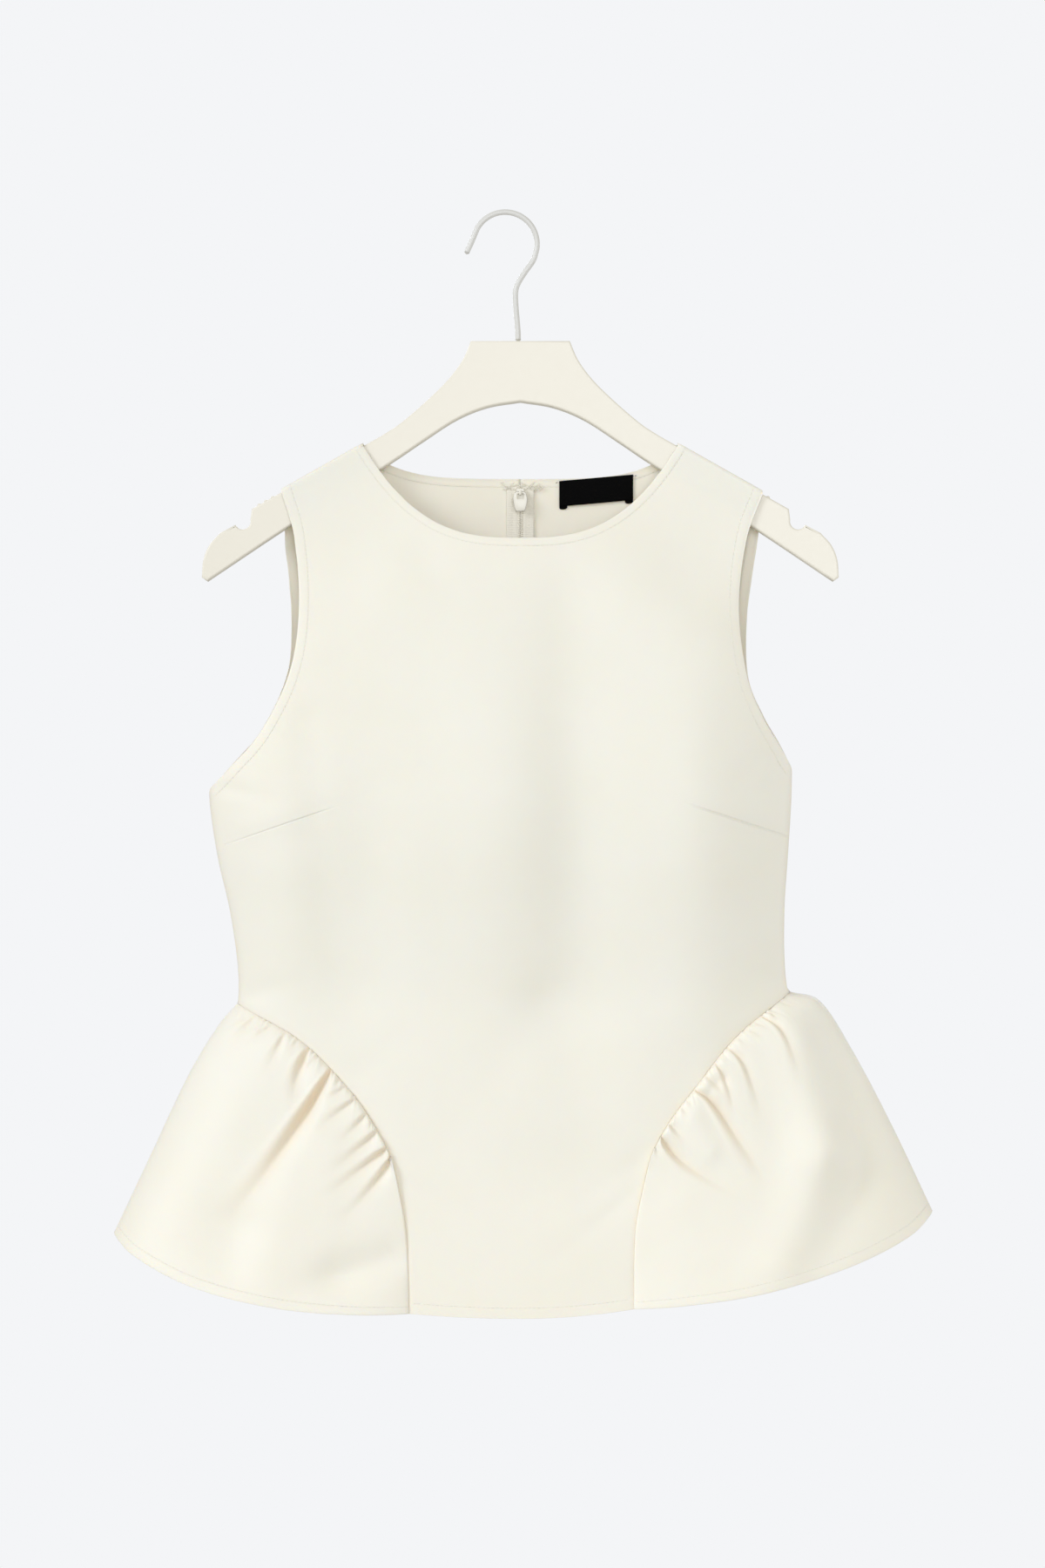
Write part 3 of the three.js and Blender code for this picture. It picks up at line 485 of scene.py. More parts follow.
LEFT_GATHERS = Table(
    "at wide deep long lean bend",
    (
        (0.06, 2, 1.4, 0.1, -0.1, 0), (0.105, 2.6, 2.4, 0.18, -0.1, 0), (0.145, 1.8, 1.2, 0.08, 0.1, 0),
        (0.19, 2.4, 2.2, 0.14, -0.35, 0), (0.255, 2.4, 2.8, 0.2, 0.1, 0), (0.315, 1.8, 1.4, 0.09, 0, 0),
        (0.38, 3.6, 5.4, 0.27, -0.1, 1.3), (0.425, 2, 1.8, 0.13, -0.1, 0), (0.468, 1.6, 1.2, 0.08, 0, 0),
        (0.517, 4.2, 7.8, 0.76, -0.17, -0.15), (0.575, 1.8, 1.4, 0.09, -0.3, 0),
        (0.62, 2.4, 2.4, 0.17, -0.6, 0), (0.69, 2.8, 3, 0.3, -0.58, 0), (0.77, 2.6, 3, 0.28, -0.48, 0),
        (0.82, 1.6, 1.2, 0.1, -0.5, 0), (0.865, 3, 3.8, 0.42, -0.6, 0), (0.95, 2.8, 5.4, 0.52, -0.66, 0),
        (0.985, 2.8, 5.8, 0.6, -0.5, 0),
    ),
)
RIGHT_GATHERS = Table(
    "at wide deep long lean bend",
    (
        (0.07, 1.8, 1.2, 0.08, 0.2, 0), (0.138, 2.2, 2, 0.11, 0.5, 0), (0.185, 2.4, 4, 0.32, 0.2, 0),
        (0.235, 1.6, 1.4, 0.1, 0, 0), (0.28, 1.8, 1.6, 0.11, 0, 0), (0.335, 1.8, 1.2, 0.09, 0.1, 0),
        (0.4, 2.4, 3.8, 0.34, 0.04, 0), (0.448, 1.6, 1.2, 0.09, 0, 0), (0.495, 2.4, 3.4, 0.3, 0.08, 0),
        (0.572, 3.2, 2.2, 0.24, -0.25, 0), (0.657, 3.2, 5.6, 0.6, -0.43, 0.15),
        (0.72, 1.6, 1.2, 0.1, -0.4, 0), (0.76, 2.2, 1.6, 0.14, -0.4, 0), (0.805, 1.6, 1.2, 0.1, -0.4, 0),
        (0.855, 2.4, 3, 0.28, -0.5, 0), (0.915, 3, 5.6, 0.62, -0.35, -0.5), (0.97, 1.8, 2, 0.2, -0.5, 0),
    ),
)
BACK_GATHERS = Table(
    "at wide deep long lean bend",
    (
        (0.07, 1.8, 1.2, 0.09, 0, 0), (0.12, 2.6, 2.4, 0.18, -0.2, 0), (0.18, 1.8, 1.4, 0.1, -0.2, 0),
        (0.25, 2.8, 3.2, 0.3, -0.2, 0), (0.31, 1.8, 1.4, 0.1, -0.2, 0), (0.38, 3, 3.6, 0.36, -0.2, 0.1),
        (0.45, 1.8, 1.4, 0.12, -0.3, 0), (0.52, 3.6, 6, 0.75, -0.2, -0.1), (0.6, 2, 1.6, 0.14, -0.3, 0),
        (0.67, 2.8, 3.2, 0.34, -0.36, 0), (0.73, 1.8, 1.4, 0.12, -0.4, 0), (0.8, 2.8, 3.6, 0.4, -0.45, 0),
        (0.88, 2.2, 2, 0.2, -0.5, 0), (0.95, 3, 4.6, 0.48, -0.6, 0),
    ),
)
FOLD_COLUMNS = "x0 z0 x1 z1 wide out fade"
PANEL_FOLDS = {
    Face.FRONT: Folds(
        Table(
            FOLD_COLUMNS,
            (
                (-188, -421, -128, -400, 8, 0.7, 0.6), (180, -418, 116, -397, 8, 0.7, 0.6),
                (-145, -350, -140, -408, 11, -1.6, 0), (-142, -430, -118, -545, 15, -1.6, 0.4),
                (184, -368, 168, -392, 4, -1.6, 0.6), (180, -360, 150, -390, 6, -1.0, 0.8),
                (-206, -394, -168, -402, 5, -1.2, 0.8), (34, -270, 40, -540, 26, -2.4, 0.2),
                (-34, -300, -30, -540, 26, 1.2, 0.3), (118, -290, 116, -540, 28, 2.6, 0.2),
                (-100, -400, -96, -520, 20, -1.0, 0.2), (-150, -400, -150, -520, 16, 1.0, 0.3),
                (-66, -236, -50, -262, 12, -0.9, 0.6), (30, -236, 40, -275, 16, -1.0, 0.4),
                (14, -540, -44, -628, 20, -1.4, 0.6), (22, -540, 62, -690, 20, -1.4, 0.6),
                (77, -668, 22, -712, 6, -0.8, 0.7), (90, -642, 40, -672, 7, -0.8, 0.8),
                (-86, -655, -50, -680, 6, -0.7, 0.8), (-120, -596, -70, -556, 10, -0.9, 0.8),
                (118, -594, 70, -552, 10, -0.9, 0.8), (-190, -538, -125, -520, 8, -1.0, 0.9),
                (182, -528, 120, -512, 8, -1.0, 0.9),
            ),
        )
    ),
    Face.BACK: Folds(
        Table(
            FOLD_COLUMNS,
            (
                (-206, -394, -150, -405, 6, -1.2, 0.8), (182, -378, 140, -398, 6, -1.2, 0.8),
                (-118, -598, -60, -570, 10, -1.0, 0.8), (116, -596, 60, -566, 10, -1.0, 0.8),
                (-190, -538, -110, -515, 8, -1.2, 0.8), (182, -528, 100, -505, 8, -1.2, 0.8),
                (-62, -540, -60, -400, 9, 0.8, 0.8), (62, -540, 60, -400, 9, 0.8, 0.8),
                (-12, -540, -16, -700, 9, -0.9, 0.3), (14, -540, 20, -700, 9, 0.8, 0.3),
            ),
        )
    ),
}
PEPLUM_FOLDS = {
    Side.LEFT: Folds(
        Table(
            FOLD_COLUMNS,
            (
                (70, -112, 72, -134, 17, -4.2, 0.2), (142, -124, 170, -106, 14, -5, 0.3),
                (132, -134, 114, -148, 14, -3, 0.6), (100, -84, 96, -118, 20, 2.2, 0.4),
                (40, -60, 30, -120, 20, 2.0, 0.3), (118, -50, 128, -96, 12, 1.2, 0.3),
            ),
        )
    ),
    Side.RIGHT: Folds(
        Table(
            FOLD_COLUMNS,
            (
                (-38, -30, -52, -84, 18, 6.6, 0), (-52, -84, -94, -140, 18, 6.4, 0.4),
                (-10, -60, -34, -112, 13, -2.6, 0.2), (-34, -112, -78, -150, 13, -2.0, 0.4),
                (-110, -14, -98, -16, 5, -1.8, 0), (-134, -22, -124, -50, 9, 1.8, 0.2),
                (-150, -80, -140, -120, 18, 1.4, 0.4),
            ),
        )
    ),
}
DARTS = {
    Face.FRONT: Table("x0 z0 x1 z1", ((-197, -432, -124, -407), (186, -429, 111, -405))),
    Face.BACK: Table("x0 z0 x1 z1", ((-62, -540, -60, -385), (62, -540, 60, -385))),
}
GATHERS = {
    (Face.FRONT, Side.LEFT): Gathers(LEFT_GATHERS, steep_side=-1),
    (Face.FRONT, Side.RIGHT): Gathers(RIGHT_GATHERS, steep_side=1),
    **{(Face.BACK, side): Gathers(BACK_GATHERS, steep_side=-1) for side in Side},
}


# Finishes


def linear(colour: str) -> tuple[float, float, float, float]:
    """Turns an sRGB hex colour to linear RGBA."""
    parts = [int(colour[i : i + 2], 16) / 255 for i in (1, 3, 5)]
    return (*[c / 12.92 if c <= 0.04045 else ((c + 0.055) / 1.055) ** 2.4 for c in parts], 1.0)


def add_node(
    tree: bpy.types.NodeTree, kind: str, inputs: dict, out: int | str = 0, **settings: str
) -> bpy.types.NodeSocket | None:
    """Adds a node with its settings and links.

    Args:
        tree: the material's or world's node tree.
        kind: the node's type, without the start that all types share.
        inputs: its sockets, each given a value or another node's output.
        out: the output that is asked for.
        settings: its properties.

    Returns:
        That output, or None for a node without outputs.
    """
    node = tree.nodes.new(f"ShaderNode{kind}")
    for name, value in settings.items():
        setattr(node, name, value)
    for name, value in inputs.items():
        if isinstance(value, bpy.types.NodeSocket):
            tree.links.new(value, node.inputs[name])
        else:
            node.inputs[name].default_value = value
    return node.outputs[out] if len(node.outputs) else None


def new_material(name: str) -> tuple[bpy.types.Material, Callable[..., bpy.types.NodeSocket]]:
    """Starts an empty material, and gives the function that adds its nodes."""
    material = bpy.data.materials.new(name)
    material.use_nodes = True
    material.node_tree.nodes.clear()
    return material, partial(add_node, material.node_tree)


@dataclass(frozen=True)
class SatinCloth:
    """Polyester satin with a twill back: a fine slanting line, a soft gloss and turned edges."""

    light: str = "#f2ede0"
    deep: str = "#efe9d8"
    # Painted shade: the warm colour that creases and seams are tinted towards
    hollow: str = "#f0dcc0"
    bloom: str = "#fffdf4"
    slant: float = 27.0
    line_mm: float = 0.9
    line_depth_mm: float = 0.014
    cloud_mm: float = 60.0
    dart_mm: float = 1.1
    dart_depth_mm: float = 0.5
    edge_depth_mm: float = 0.22
    glow_mm: float = 3.5

    def make(self) -> bpy.types.Material:
        """Makes the material."""
        material, node = new_material("satin_cloth")
        flat = node("UVMap", {}, uv_map="cut")
        marks = ("hollow", "edge", "dart", "dart_depth")
        hollow, edge, dart, dart_depth = (node("Attribute", {}, "Fac", attribute_name=name) for name in marks)
        # The satin's lines slant up to the right, and are drawn coarser than the real 0.4 mm
        turned = node("Mapping", {"Vector": flat, "Rotation": (0, 0, math.radians(self.slant))})
        waves = {"Vector": turned, "Scale": WAVE_PER_METRE / (self.line_mm * MM), "Distortion": 0.6}
        weave = node("TexWave", {**waves, "Detail": 1.0, "Detail Scale": 2.0}, "Fac")
        clouds = node("TexNoise", {"Vector": flat, "Scale": 1 / (self.cloud_mm * MM), "Detail": 3.0}, "Fac")
        tints = {"Factor": clouds, "A": linear(self.deep), "B": linear(self.light)}
        colour = node("Mix", tints, "Result", data_type="RGBA")
        # Painted shade: the colour turns warm where the cloth lies deep in a crease or at a seam, standing in
        # for light that bounces between a crease's walls
        painted_shade_mix = {"Factor": hollow, "A": colour, "B": linear(self.hollow)}
        # The cloth is thicker from its free edge to the stitches, and sinks in along a dart
        hem = {"Value": edge, "From Min": 0.82, "From Max": 1.12, "To Min": 1.0, "To Max": 0.0}
        fold = node("MapRange", hem, interpolation_type="SMOOTHSTEP")
        dart_off = node("Math", {0: dart}, operation="ABSOLUTE")
        near = {"Value": dart_off, "From Max": self.dart_mm}
        groove = node("MapRange", near, interpolation_type="SMOOTHSTEP")
        sunk = node("Mix", {0: dart_depth, 2: 1.0, 3: groove}, data_type="FLOAT")
        normal = node("Bump", {"Height": weave, "Distance": self.line_depth_mm * MM, "Strength": 0.7})
        for height, depth in ((sunk, self.dart_depth_mm), (fold, self.edge_depth_mm)):
            relief = {"Height": height, "Distance": depth * MM, "Strength": 1.0}
            normal = node("Bump", {**relief, "Normal": normal})
        look = {
            "Base Color": node("Mix", painted_shade_mix, "Result", data_type="RGBA"),
            "Roughness": 0.52,
            "IOR": 1.46,
            "Subsurface Weight": 0.25,
            "Subsurface Radius": (1.0, 0.62, 0.3),
            "Subsurface Scale": self.glow_mm * MM,
            "Sheen Weight": 0.18,
            "Sheen Roughness": 0.5,
            "Sheen Tint": linear(self.bloom),
            "Normal": normal,
        }
        node("OutputMaterial", {"Surface": node("BsdfPrincipled", look)})
        return material


@dataclass(frozen=True)
class WovenTape:
    """Cotton or polyester tape with fine ribs, as on a zip's sides, or a dense woven label."""

    name: str
    colour: str
    rib_mm: float
    roughness: float = 0.8
    sheen: float = 0.2
    gloss: float = 0.4
    between_ribs: str = "#eeeeee"

    def make(self) -> bpy.types.Material:
        """Makes the material."""
        material, node = new_material(self.name)
        place = node("TexCoord", {}, "Object")
        scale = WAVE_PER_METRE / (self.rib_mm * MM)
        waves = {"Vector": place, "Scale": scale, "Distortion": 1.2, "Detail": 2.0}
        ribs = node("TexWave", waves, "Fac", bands_direction="Z")
        tones = {"Factor": ribs, "A": linear(self.colour), "B": linear(self.between_ribs)}
        look = {
            "Base Color": node("Mix", tones, "Result", data_type="RGBA", blend_type="MULTIPLY"),
            "Roughness": self.roughness,
            "Specular IOR Level": self.gloss,
            "Sheen Weight": self.sheen,
            "Normal": node("Bump", {"Height": ribs, "Distance": 0.12 * MM, "Strength": 0.6}),
        }
        node("OutputMaterial", {"Surface": node("BsdfPrincipled", look)})
        return material


@dataclass(frozen=True)
class SmoothCoat:
    """A smooth sprayed or dipped coat: lacquer on wood, enamel on zinc, or plastic on wire."""

    name: str
    colour: str
    roughness: float
    coat: float
    orange_peel_mm: float
    metallic: float = 0.0

    def make(self) -> bpy.types.Material:
        """Makes the material."""
        material, node = new_material(self.name)
        place = node("TexCoord", {}, "Object")
        spots = {"Vector": place, "Scale": 1 / (self.orange_peel_mm * MM), "Detail": 2.0}
        peel = node("TexNoise", spots, "Fac")
        gloss = {"Value": peel, "To Min": self.roughness - 0.05, "To Max": self.roughness + 0.08}
        look = {
            "Base Color": linear(self.colour),
            "Metallic": self.metallic,
            "Roughness": node("MapRange", gloss),
            "Coat Weight": self.coat,
            "Coat Roughness": 0.2,
            "Normal": node("Bump", {"Height": peel, "Distance": 0.05 * MM, "Strength": 0.5}),
        }
        node("OutputMaterial", {"Surface": node("BsdfPrincipled", look)})
        return material


@dataclass(frozen=True)
class Finishes:
    """Every finish on the top and its hanger, made once."""

    satin: bpy.types.Material
    thread: bpy.types.Material
    tape: bpy.types.Material
    label: bpy.types.Material
    enamel: bpy.types.Material
    zinc: bpy.types.Material
    lacquer: bpy.types.Material
    wire_coat: bpy.types.Material

    @classmethod
    def make(cls) -> Finishes:
        """Makes them all."""
        return cls(
            # Polyester satin: a broad soft sheen that rolls over the folds, with painted warm shade in the
            # creases and at seams
            satin=SatinCloth().make(),
            # Spun sewing thread: small dull grains that catch light along the edges
            thread=WovenTape("sewing_thread", "#f5f0e0", 0.5, 0.6, 0.1).make(),
            # Knitted polyester tape: fine ribs that look dry beside the cloth
            tape=WovenTape("zip_tape_knit", "#f6f1e1", 1.2).make(),
            # Damask label: black and almost without shine, one flat dark bar at the neck
            label=WovenTape("label_weave", "#060606", 0.8, 0.85, 0.0, 0.06).make(),
            # Enamel baked on cast zinc: a small crisp highlight on cream
            enamel=SmoothCoat("zip_enamel", "#e9e5d6", 0.35, 0.4, 1.5).make(),
            # Bare zinc on the pull's rim: a thin grey line of metal
            zinc=SmoothCoat("zip_zinc", "#b9b7b0", 0.3, 0.0, 1.0, 1.0).make(),
            # Lacquer sprayed on wood: a soft shine, with the faint waves of a spray coat
            lacquer=SmoothCoat("hanger_lacquer", "#e9e4d4", 0.42, 0.25, 6.0).make(),
            # Plastic dipped on wire: greyer than the board, with one blurred highlight
            wire_coat=SmoothCoat("wire_coating", "#d6d5cf", 0.38, 0.3, 3.0).make(),
        )


# Making pieces


def put(name: str, data: bpy.types.ID) -> bpy.types.Object:
    """Puts an object with this data in the scene."""
    thing = bpy.data.objects.new(name, data)
    bpy.context.scene.collection.objects.link(thing)
    return thing


def new_piece(
    name: str, bm: bmesh.types.BMesh, material: bpy.types.Material, body: str = "top", node: str = ""
) -> bpy.types.Object:
    """Turns a bmesh into a smooth-shaded piece that rides on a body.

    Args:
        name: the piece's name.
        bm: its mesh in metres, which is freed.
        material: its finish.
        body: the body that it rides on.
        node: the solid that it stands for, if it has one.

    Returns:
        The piece's object.
    """
    mesh = bpy.data.meshes.new(name)
    for polygon in bm.faces:
        polygon.smooth = True
    bm.to_mesh(mesh)
    bm.free()
    mesh.materials.append(material)
    piece = put(name, mesh)
    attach(piece, body)
    if node:
        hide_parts(node)
    log.info("made %s", name)
    return piece


def give_wall(piece: bpy.types.Object, thickness: float) -> bpy.types.Modifier:
    """Thickens a sheet inwards."""
    wall = piece.modifiers.new("wall", "SOLIDIFY")
    wall.thickness = thickness * MM
    wall.offset = -1.0
    return wall


def place(bm: bmesh.types.BMesh, points: Array) -> None:
    """Moves a mesh's vertices to points in millimetres."""
    for vertex, point in zip(bm.verts, points):
        vertex.co = point * MM


def shift(bm: bmesh.types.BMesh, by: Sequence[float]) -> None:
    """Moves a whole mesh, by metres."""
    bmesh.ops.translate(bm, verts=bm.verts[:], vec=by)


def join(bm: bmesh.types.BMesh, part: bmesh.types.BMesh) -> None:
    """Adds a part to a mesh and frees it."""
    mesh = bpy.data.meshes.new("part")
    part.to_mesh(mesh)
    part.free()
    bm.from_mesh(mesh)
    bpy.data.meshes.remove(mesh)


def grid(columns: Array, rows: Array) -> tuple[bmesh.types.BMesh, Array, Array]:
    """Makes a grid of faces that look to -Y once they stand upright.

    Args:
        columns: the grid's lines across.
        rows: its lines up.

    Returns:
        The mesh, and each vertex's value across and up.
    """
    bm = bmesh.new()
    wide, tall = len(columns) - 1, len(rows) - 1
    bmesh.ops.create_grid(bm, x_segments=wide, y_segments=tall, size=0.5)
    across = columns[[round((v.co.x + 0.5) * wide) for v in bm.verts]]
    return bm, across, rows[[round((v.co.y + 0.5) * tall) for v in bm.verts]]


def skin(rings: Array, capped: bool = False) -> bmesh.types.BMesh:
    """Joins rings of points into one closed form.

    Args:
        rings: rings of points in millimetres; the last one may be the first again, or a point.
        capped: whether the first and the last ring get a flat face.

    Returns:
        The mesh, in metres.
    """
    count, sides = rings.shape[:2]
    bm, side, ring = grid(np.arange(sides + 1), np.arange(count))
    place(bm, rings[ring, side % sides])
    bmesh.ops.remove_doubles(bm, verts=bm.verts[:], dist=1e-6)
    if capped:
        bmesh.ops.holes_fill(bm, edges=[e for e in bm.edges if e.is_boundary], sides=0)
    bmesh.ops.recalc_face_normals(bm, faces=bm.faces[:])
    return bm


def upright(outline: Array, depth: float) -> Array:
    """Stands a flat outline up at a depth."""
    return np.stack([outline[:, 0], np.full(len(outline), depth), outline[:, 1]], axis=1)


def mirrored(half: Sequence[tuple[float, float]]) -> list[tuple[float, float]]:
    """Completes an outline with its half mirrored across X = 0, where its first corner lies."""
    return [*half, *((-x, z) for x, z in half[:0:-1])]


def smooth_line(points: Sequence[Sequence[float]], steps: int = 8) -> Array:
    """A smooth curve through points, with some steps between each two."""
    knots = np.array(points, float)
    knots = np.concatenate([[2 * knots[0] - knots[1]], knots, [2 * knots[-1] - knots[-2]]])
    t = np.arange(steps)[:, None] / steps
    parts = []
    for a, b, c, d in zip(knots, knots[1:], knots[2:], knots[3:]):
        bend = t * (c - a) + t**2 * (2 * a - 5 * b + 4 * c - d) + t**3 * (3 * b - a - 3 * c + d)
        parts.append(b + bend / 2)
    return np.concatenate([*parts, knots[-2:-1]])


def rounded(corners: Sequence[Sequence[float]], radius: float, steps: int = 5) -> Array:
    """A closed flat outline with its corners rounded off."""
    points, count = np.array(corners, float), len(corners)
    t = lines(0, 1, steps)[:, None]
    arcs = []
    for i, corner in enumerate(points):
        back, on = points[i - 1] - corner, points[(i + 1) % count] - corner
        start = corner + back / np.linalg.norm(back) * radius
        end = corner + on / np.linalg.norm(on) * radius
        arcs.append((1 - t) ** 2 * start + 2 * t * (1 - t) * corner + t**2 * end)
    return np.concatenate(arcs)


def inwards(outline: Array) -> Array:
    """The way into a closed outline at each of its points, for a shift of 1 of its sides."""
    on = np.roll(outline, -1, axis=0) - outline
    on = on / np.linalg.norm(on, axis=1)[:, None]
    turned = np.stack([-on[:, 1], on[:, 0]], axis=1)
    both = turned + np.roll(turned, 1, axis=0)
    way = both / np.maximum((both**2).sum(axis=1), 0.8)[:, None] * 2
    x, z = outline.T
    return way * np.sign((x * np.roll(z, -1) - z * np.roll(x, -1)).sum())


def board(outline: Array, thick: float, edge: float, steps: int = 4) -> Array:
    """The rings of a flat board with rounded edges, around Y = 0."""
    angles = lines(0, math.pi / 2, steps)
    inset = edge * (1 - np.cos(angles))
    depth = thick / 2 - edge * (1 - np.sin(angles))
    profile = [(edge + 0.35, thick / 2), *zip(inset[::-1], depth[::-1])]
    profile = profile + [(i, -d) for i, d in profile[::-1]]
    return np.array([upright(outline + inwards(outline) * inward, y) for inward, y in profile])


def swept(
    path: Array, side: Sequence[float], wide: float, tall: float, sides: int, loop: bool = False
) -> Array:
    """The rings of a bar swept along a flat path, with round ends.

    Args:
        path: the path's points.
        side: the direction across the path's plane.
        wide: half the bar's width, in that direction.
        tall: half its height, in the path's plane.
        sides: how many sides it has.
        loop: whether the path is closed.

    Returns:
        Rings of points.
    """
    across = np.array(side, float)
    if loop:
        run = np.roll(path, -1, axis=0) - np.roll(path, 1, axis=0)
        path, run = (np.concatenate([row, row[:1]]) for row in (path, run))
        size = np.ones(len(path))
    else:
        run = np.gradient(path, axis=0)
        angles = lines(0, math.pi / 2, 4)[:-1]
        first, last = (run[i] / np.linalg.norm(run[i]) * tall for i in (0, -1))
        head = path[0] + first * (1 - np.cos(angles))[:, None]
        tail = path[-1] - last * (1 - np.cos(angles[::-1]))[:, None]
        size = np.concatenate([np.sin(angles), np.ones(len(path) - 2), np.sin(angles[::-1])])
        run = np.concatenate([np.tile(run[:1], (4, 1)), run[1:-1], np.tile(run[-1:], (4, 1))])
        path = np.concatenate([head, path[1:-1], tail])
    up = np.cross(run, across)
    up = up / np.linalg.norm(up, axis=1)[:, None]
    turn = lines(0, 2 * math.pi, sides)[:-1]
    section = wide * np.cos(turn)[None, :, None] * across + tall * np.sin(turn)[None, :, None] * up[:, None]
    return path[:, None] + section * size[:, None, None]


def closer_at_ends(grid: Array, share: float = 0.1) -> Array:
    """Adds grid lines next to the first and the last one, for the turn of an edge."""
    first = grid[0] + (grid[1] - grid[0]) * np.array([share, 3 * share, 6 * share])
    last = grid[-1] + (grid[-2] - grid[-1]) * np.array([6 * share, 3 * share, share])
    return np.concatenate([grid[:1], first, grid[1:-1], last, grid[-1:]])


def distance_to(x: Array, z: Array, edges: Sequence[tuple[Array, Array]]) -> Array:
    """The distance from each flat place to the nearest point of some lines."""
    return np.minimum.reduce(
        [np.hypot(x[:, None] - edge_x, z[:, None] - edge_z).min(axis=1) for edge_x, edge_z in edges]
    )


def inset(x: Array, z: Array, by: float, turn: int) -> tuple[Array, Array]:
    """Moves a flat line sideways, to its right where turn is 1 and to its left where it is -1."""
    run_x, run_z = np.gradient(x), np.gradient(z)
    length = np.hypot(run_x, run_z)
    return x - turn * by * -run_z / length, z - turn * by * run_x / length


def way_along(points: Array) -> Array:
    """The length of a line up to each of its points."""
    return np.concatenate([[0], np.cumsum(np.linalg.norm(np.diff(points, axis=0), axis=1))])


def points_along(points: Array, places: Array) -> Array:
    """Points of a line at some lengths along it."""
    return np.stack([np.interp(places, way_along(points), column) for column in points.T], axis=1)


@dataclass(frozen=True)
class Surface:
    """The cloth of one panel, laid on its form from its flat pattern.

    Args:
        face: the front or the back.
        lay: lays flat places on the form, in millimetres.
        relief: tells how far the cloth lies out of the form there, in millimetres.
        thickness: the cloth's thickness.
        reach: half the step that finds the way out of the cloth.
    """

    face: Face
    lay: Callable[[Array, Array], Array]
    relief: Callable[[Array, Array], Array]
    thickness: float = 1.1
    reach: float = 0.4

    def outward(self, x: Array, z: Array) -> Array:
        """The direction out of the cloth."""
        across = self.lay(x + self.reach, z) - self.lay(x - self.reach, z)
        up = self.lay(x, z + self.reach) - self.lay(x, z - self.reach)
        out = np.cross(across, up) * -self.face.value
        return out / np.maximum(np.linalg.norm(out, axis=1), 1e-9)[:, None]

    def inner(self, x: Array, z: Array, off: Array | float) -> Array:
        """Points off the inner side of the cloth's smooth form."""
        lift = np.broadcast_to(self.thickness / 2 + off, x.shape)
        return self.lay(x, z) - self.outward(x, z) * lift[:, None]

    def points(self, x: Array, z: Array, off: float = 0.0) -> Array:
        """Points of the cloth's outer side, or of another layer off it."""
        lift = self.relief(x, z) + self.thickness / 2 + off
        points = self.lay(x, z) + self.outward(x, z) * lift[:, None]
        points[:, 1] = self.face.value * np.maximum(self.face.value * points[:, 1], 0)
        return points


@dataclass(frozen=True)
class ClothPanel:
    """A panel of cloth woven as a grid, laid on its form and thickened inwards.

    Args:
        node: the solid that it stands for.
        surface: its cloth.
        u_lines: the grid's lines across.
        v_lines: the grid's lines down or up.
        flat: gives the flat pattern in millimetres for places on the grid.
        edge: gives the distance to the nearest turned edge, where its stitches lie at 1.
        hollow: gives how much painted shade a place gets, deep in a crease or at a seam, from 0 to 1.
        dart: gives how far a place lies to one side of a dart, and how deep the dart is.
        keep: tells which places are cloth.
        fine_edge: how near the other face's cloth this one's wall thins out.
        thinnest: the share of its wall that stays there.
    """

    node: str
    surface: Surface
    u_lines: Array
    v_lines: Array
    flat: Callable[[Array, Array], tuple[Array, Array]]
    edge: Callable[[Array, Array], Array]
    hollow: Callable[[Array, Array], Array]
    dart: Callable[[Array, Array], tuple[Array, Array]] | None = None
    keep: Callable[[Array, Array], Array] | None = None
    fine_edge: float = 1.4
    thinnest: float = 0.12

    def build(self, satin: bpy.types.Material) -> bpy.types.Object:
        """Builds the panel and puts it in its solid's place."""
        bm, u, v = grid(self.u_lines, self.v_lines)
        x, z = self.flat(u, v)
        self.mark(bm, x, z)
        points = self.surface.points(x, z)
        place(bm, points)
        # The wall thins out where the front and the back meet, so that they never cross
        wall_share = bm.verts.layers.deform.verify()
        for vertex, share in zip(bm.verts, np.clip(np.abs(points[:, 1]) / self.fine_edge, self.thinnest, 1)):
            vertex[wall_share][0] = share
        if self.keep:
            self.trim(bm, self.keep(u, v))
        bm.normal_update()
        if sum(f.normal.y * f.calc_area() for f in bm.faces) * self.surface.face.value < 0:
            bmesh.ops.reverse_faces(bm, faces=bm.faces[:])
        piece = new_piece(f"{self.node}_cloth", bm, satin, node=self.node)
        wall = give_wall(piece, self.surface.thickness)
        wall.vertex_group = piece.vertex_groups.new(name="wall").name
        return piece

    def mark(self, bm: bmesh.types.BMesh, x: Array, z: Array) -> None:
        """Writes what the satin reads: each vertex's place, how it lies to edges and darts, and how much
        painted shade it gets.
        """
        off, depth = self.dart(x, z) if self.dart else (np.ones_like(x), np.zeros_like(x))
        marks = {"edge": self.edge(x, z), "dart": off, "dart_depth": depth, "hollow": self.hollow(x, z)}
        for name, values in marks.items():
            layer = bm.verts.layers.float.new(name)
            for vertex, value in zip(bm.verts, values):
                vertex[layer] = value
        cut = bm.loops.layers.uv.new("cut")
        for vertex, spot in zip(bm.verts, np.stack([x, z], axis=1) * MM):
            for loop in vertex.link_loops:
                loop[cut].uv = spot

    def trim(self, bm: bmesh.types.BMesh, kept: Array) -> None:
        """Takes out the faces that aren't cloth."""
        waste = {v for v, keep in zip(bm.verts, kept) if not keep}
        faces = [f for f in bm.faces if any(v in waste for v in f.verts)]
        bmesh.ops.delete(bm, geom=faces, context="FACES")


